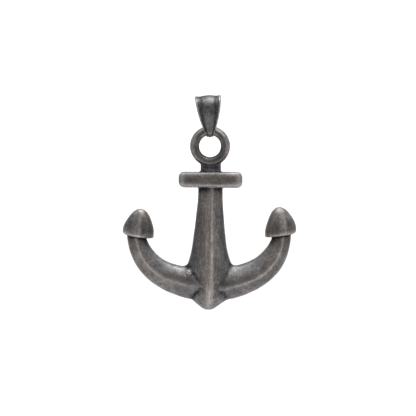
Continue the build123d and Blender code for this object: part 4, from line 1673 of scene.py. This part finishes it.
    def _weather(self, piece: bpy.types.Object) -> None:
        """Keep on the mesh where the patina is worn and where it is thick, and where light and
        shade are painted.

        Args:
            piece: the bail.
        """
        places = places_of(piece)
        keep_relief(piece, "fine", passes=10, full=0.03, limits=(-1.0, 1.0))
        keep_relief(piece, "broad", passes=80, full=0.10, limits=(-1.0, 1.0))
        keep_values(piece, "brushed", np.full(len(places), 0.8))
        lean = math.radians(self.lean)
        level = places[:, 0] - self.shift
        across = level * math.cos(lean) + places[:, 2] * math.sin(lean)
        height = places[:, 2] * math.cos(lean) - level * math.sin(lean)
        share = np.abs(across) / (read_column(BAIL_WIDTHS, height) / 2)
        groove, lip, middle = (read_column(BAIL_TONE, height, column) for column in (1, 2, 3))
        wear_and_light = felt_together(patches_in(BAIL_WEAR_AND_LIGHT), places)
        wear_and_light += groove * IN_GROOVE.felt_at(share)
        wear_and_light += lip * ON_LIP.felt_at(share) * np.where(across > 0, RIGHT_LIP_MORE, 1.0)
        wear_and_light += middle * DOWN_MIDDLE.felt_at(share)
        wear_and_light += EDGE_DARK.felt_at(share) * EDGE_UP.felt_at(height)
        keep_values(piece, "wear_and_painted_light", wear_and_light)
        keep_values(piece, "chill", felt_together(patches_in(BAIL_CHILLS), places))

    def dress(self, piece: bpy.types.Object) -> None:
        """Give the piece its finish and its place in the frame.

        Args:
            piece: the bail.
        """
        coat(piece, DarkenedSilver("darkened_bail_silver", warm=(1.012, 0.994, 0.985),
                                   lift=0.26, edge=0.12, form=0.36, streaks=0.36))
        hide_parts("bail")
        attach(piece, "bail")


@dataclass
class SoftLight:
    """A soft box that faces the pendant.

    Attributes:
        name: its name.
        place: where it stands, in metres.
        size: its width and height.
        power: in watts.
        colour: the colour of its light.
    """

    name: str
    place: tuple[float, float, float]
    size: tuple[float, float]
    power: float
    colour: tuple[float, float, float] = (1.0, 1.0, 1.0)

    def set_up(self, target: Vector) -> None:
        """Put the light in the studio, turned to a place.

        Args:
            target: the place that it faces.
        """
        put_down()
        bpy.ops.object.light_add(type="AREA", location=self.place)
        lamp = bpy.context.object
        lamp.name = lamp.data.name = self.name
        lamp.data.shape = "RECTANGLE"
        lamp.data.size, lamp.data.size_y = self.size
        lamp.data.energy, lamp.data.color = self.power, self.colour
        lamp.rotation_euler = (target - lamp.location).to_track_quat("-Z", "Y").to_euler()


@dataclass
class Studio:
    """The plain pale floor, the soft light and the camera.

    Attributes:
        floor_height: the floor's height over the seat of the chain, in metres.
        floor_size: the floor's width.
        air_low: strength of the light from the sides.
        air_high: strength of the light from above.
        air_back: how much stronger the light from behind is than from the sides.
        air_turn: how far up or back a ray goes for the whole of that, as a sine.
        backdrop: strength of the plain light that the camera and matt surfaces see.
        camera_place: where the camera stands.
        lens: its focal length in millimetres.
        middle: what the lights face.
        lights: the soft boxes.
    """

    floor_height: float = -0.062
    floor_size: float = 12.0
    air_low: float = 0.30
    air_high: float = 0.90
    air_back: float = 0.30
    air_turn: float = 0.9
    backdrop: float = 1.25
    camera_place: tuple[float, float, float] = (-0.00004, -0.8, -0.02045)
    lens: float = 371.4
    middle: tuple[float, float, float] = (0.0, 0.0, -0.02)
    lights: list[SoftLight] = field(default_factory=lambda: [
        SoftLight("top_light", place=(0.0, -0.10, 0.50), size=(0.50, 0.40), power=2.7,
                  colour=(0.84, 0.91, 1.0)),
        SoftLight("front_light", place=(0.0, -0.80, 0.35), size=(0.60, 0.30), power=1.6,
                  colour=(1.0, 0.98, 0.96))])

    def set_up(self) -> None:
        """Lay the floor, hang the lights and stand the camera."""
        self._lay_floor()
        self._fill_air()
        for light in self.lights:
            light.set_up(Vector(self.middle))
        put_down()
        bpy.ops.object.camera_add(location=self.camera_place, rotation=UPRIGHT)
        camera = bpy.context.object
        camera.name = "camera"
        camera.data.sensor_width = 36.0
        camera.data.lens = self.lens
        camera.data.clip_start, camera.data.clip_end = 0.01, 100.0
        bpy.context.scene.camera = camera
        bpy.context.scene.view_settings.view_transform = "Standard"

    def _lay_floor(self) -> None:
        """Lay the flat floor under the pendant."""
        floor = start_from(bpy.ops.mesh.primitive_grid_add, x_subdivisions=12,
                           y_subdivisions=12, size=self.floor_size,
                           location=(0.0, 0.0, self.floor_height))
        floor.name = floor.data.name = "floor"
        coat(floor, StudioPaint())

    def _fill_air(self) -> None:
        """Fill the studio with even white light, softer towards its walls."""
        world = bpy.data.worlds.new("studio_air")
        world.use_nodes = True
        bench = Bench(world.node_tree)
        ray = bench.add("LightPath").outputs
        upward = bench.add("SeparateXYZ", {0: bench.add("TexCoord").outputs["Generated"]})
        height = bench.span(upward.outputs["Z"], 0.0, self.air_turn)
        behind = bench.span(upward.outputs["Y"], 0.0, self.air_turn)
        wall = bench.total((1.0, self.air_low), (height, self.air_high - self.air_low),
                           (behind, self.air_back))
        plain = bench.calc("MAXIMUM", ray["Is Camera Ray"], ray["Is Diffuse Ray"])
        mirrored = bench.calc("MULTIPLY", wall, bench.calc("SUBTRACT", 1.0, plain))
        strength = bench.calc("MULTIPLY_ADD", plain, self.backdrop, mirrored)
        bench.feed(bench.tree.nodes["Background"],
                   {"Color": (1.0, 1.0, 1.0, 1.0), "Strength": strength})
        bpy.context.scene.world = world


def main() -> None:
    """Build the pendant, dress it and set it in the studio."""
    logging.basicConfig(level=logging.INFO, format="%(name)s: %(message)s")
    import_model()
    for maker in (Casting(), Bail()):
        piece = maker.build()
        maker.dress(piece)
        log.info("%s: %d faces", piece.name, len(piece.data.polygons))
    Studio().set_up()


if __name__ == "__main__":
    main()
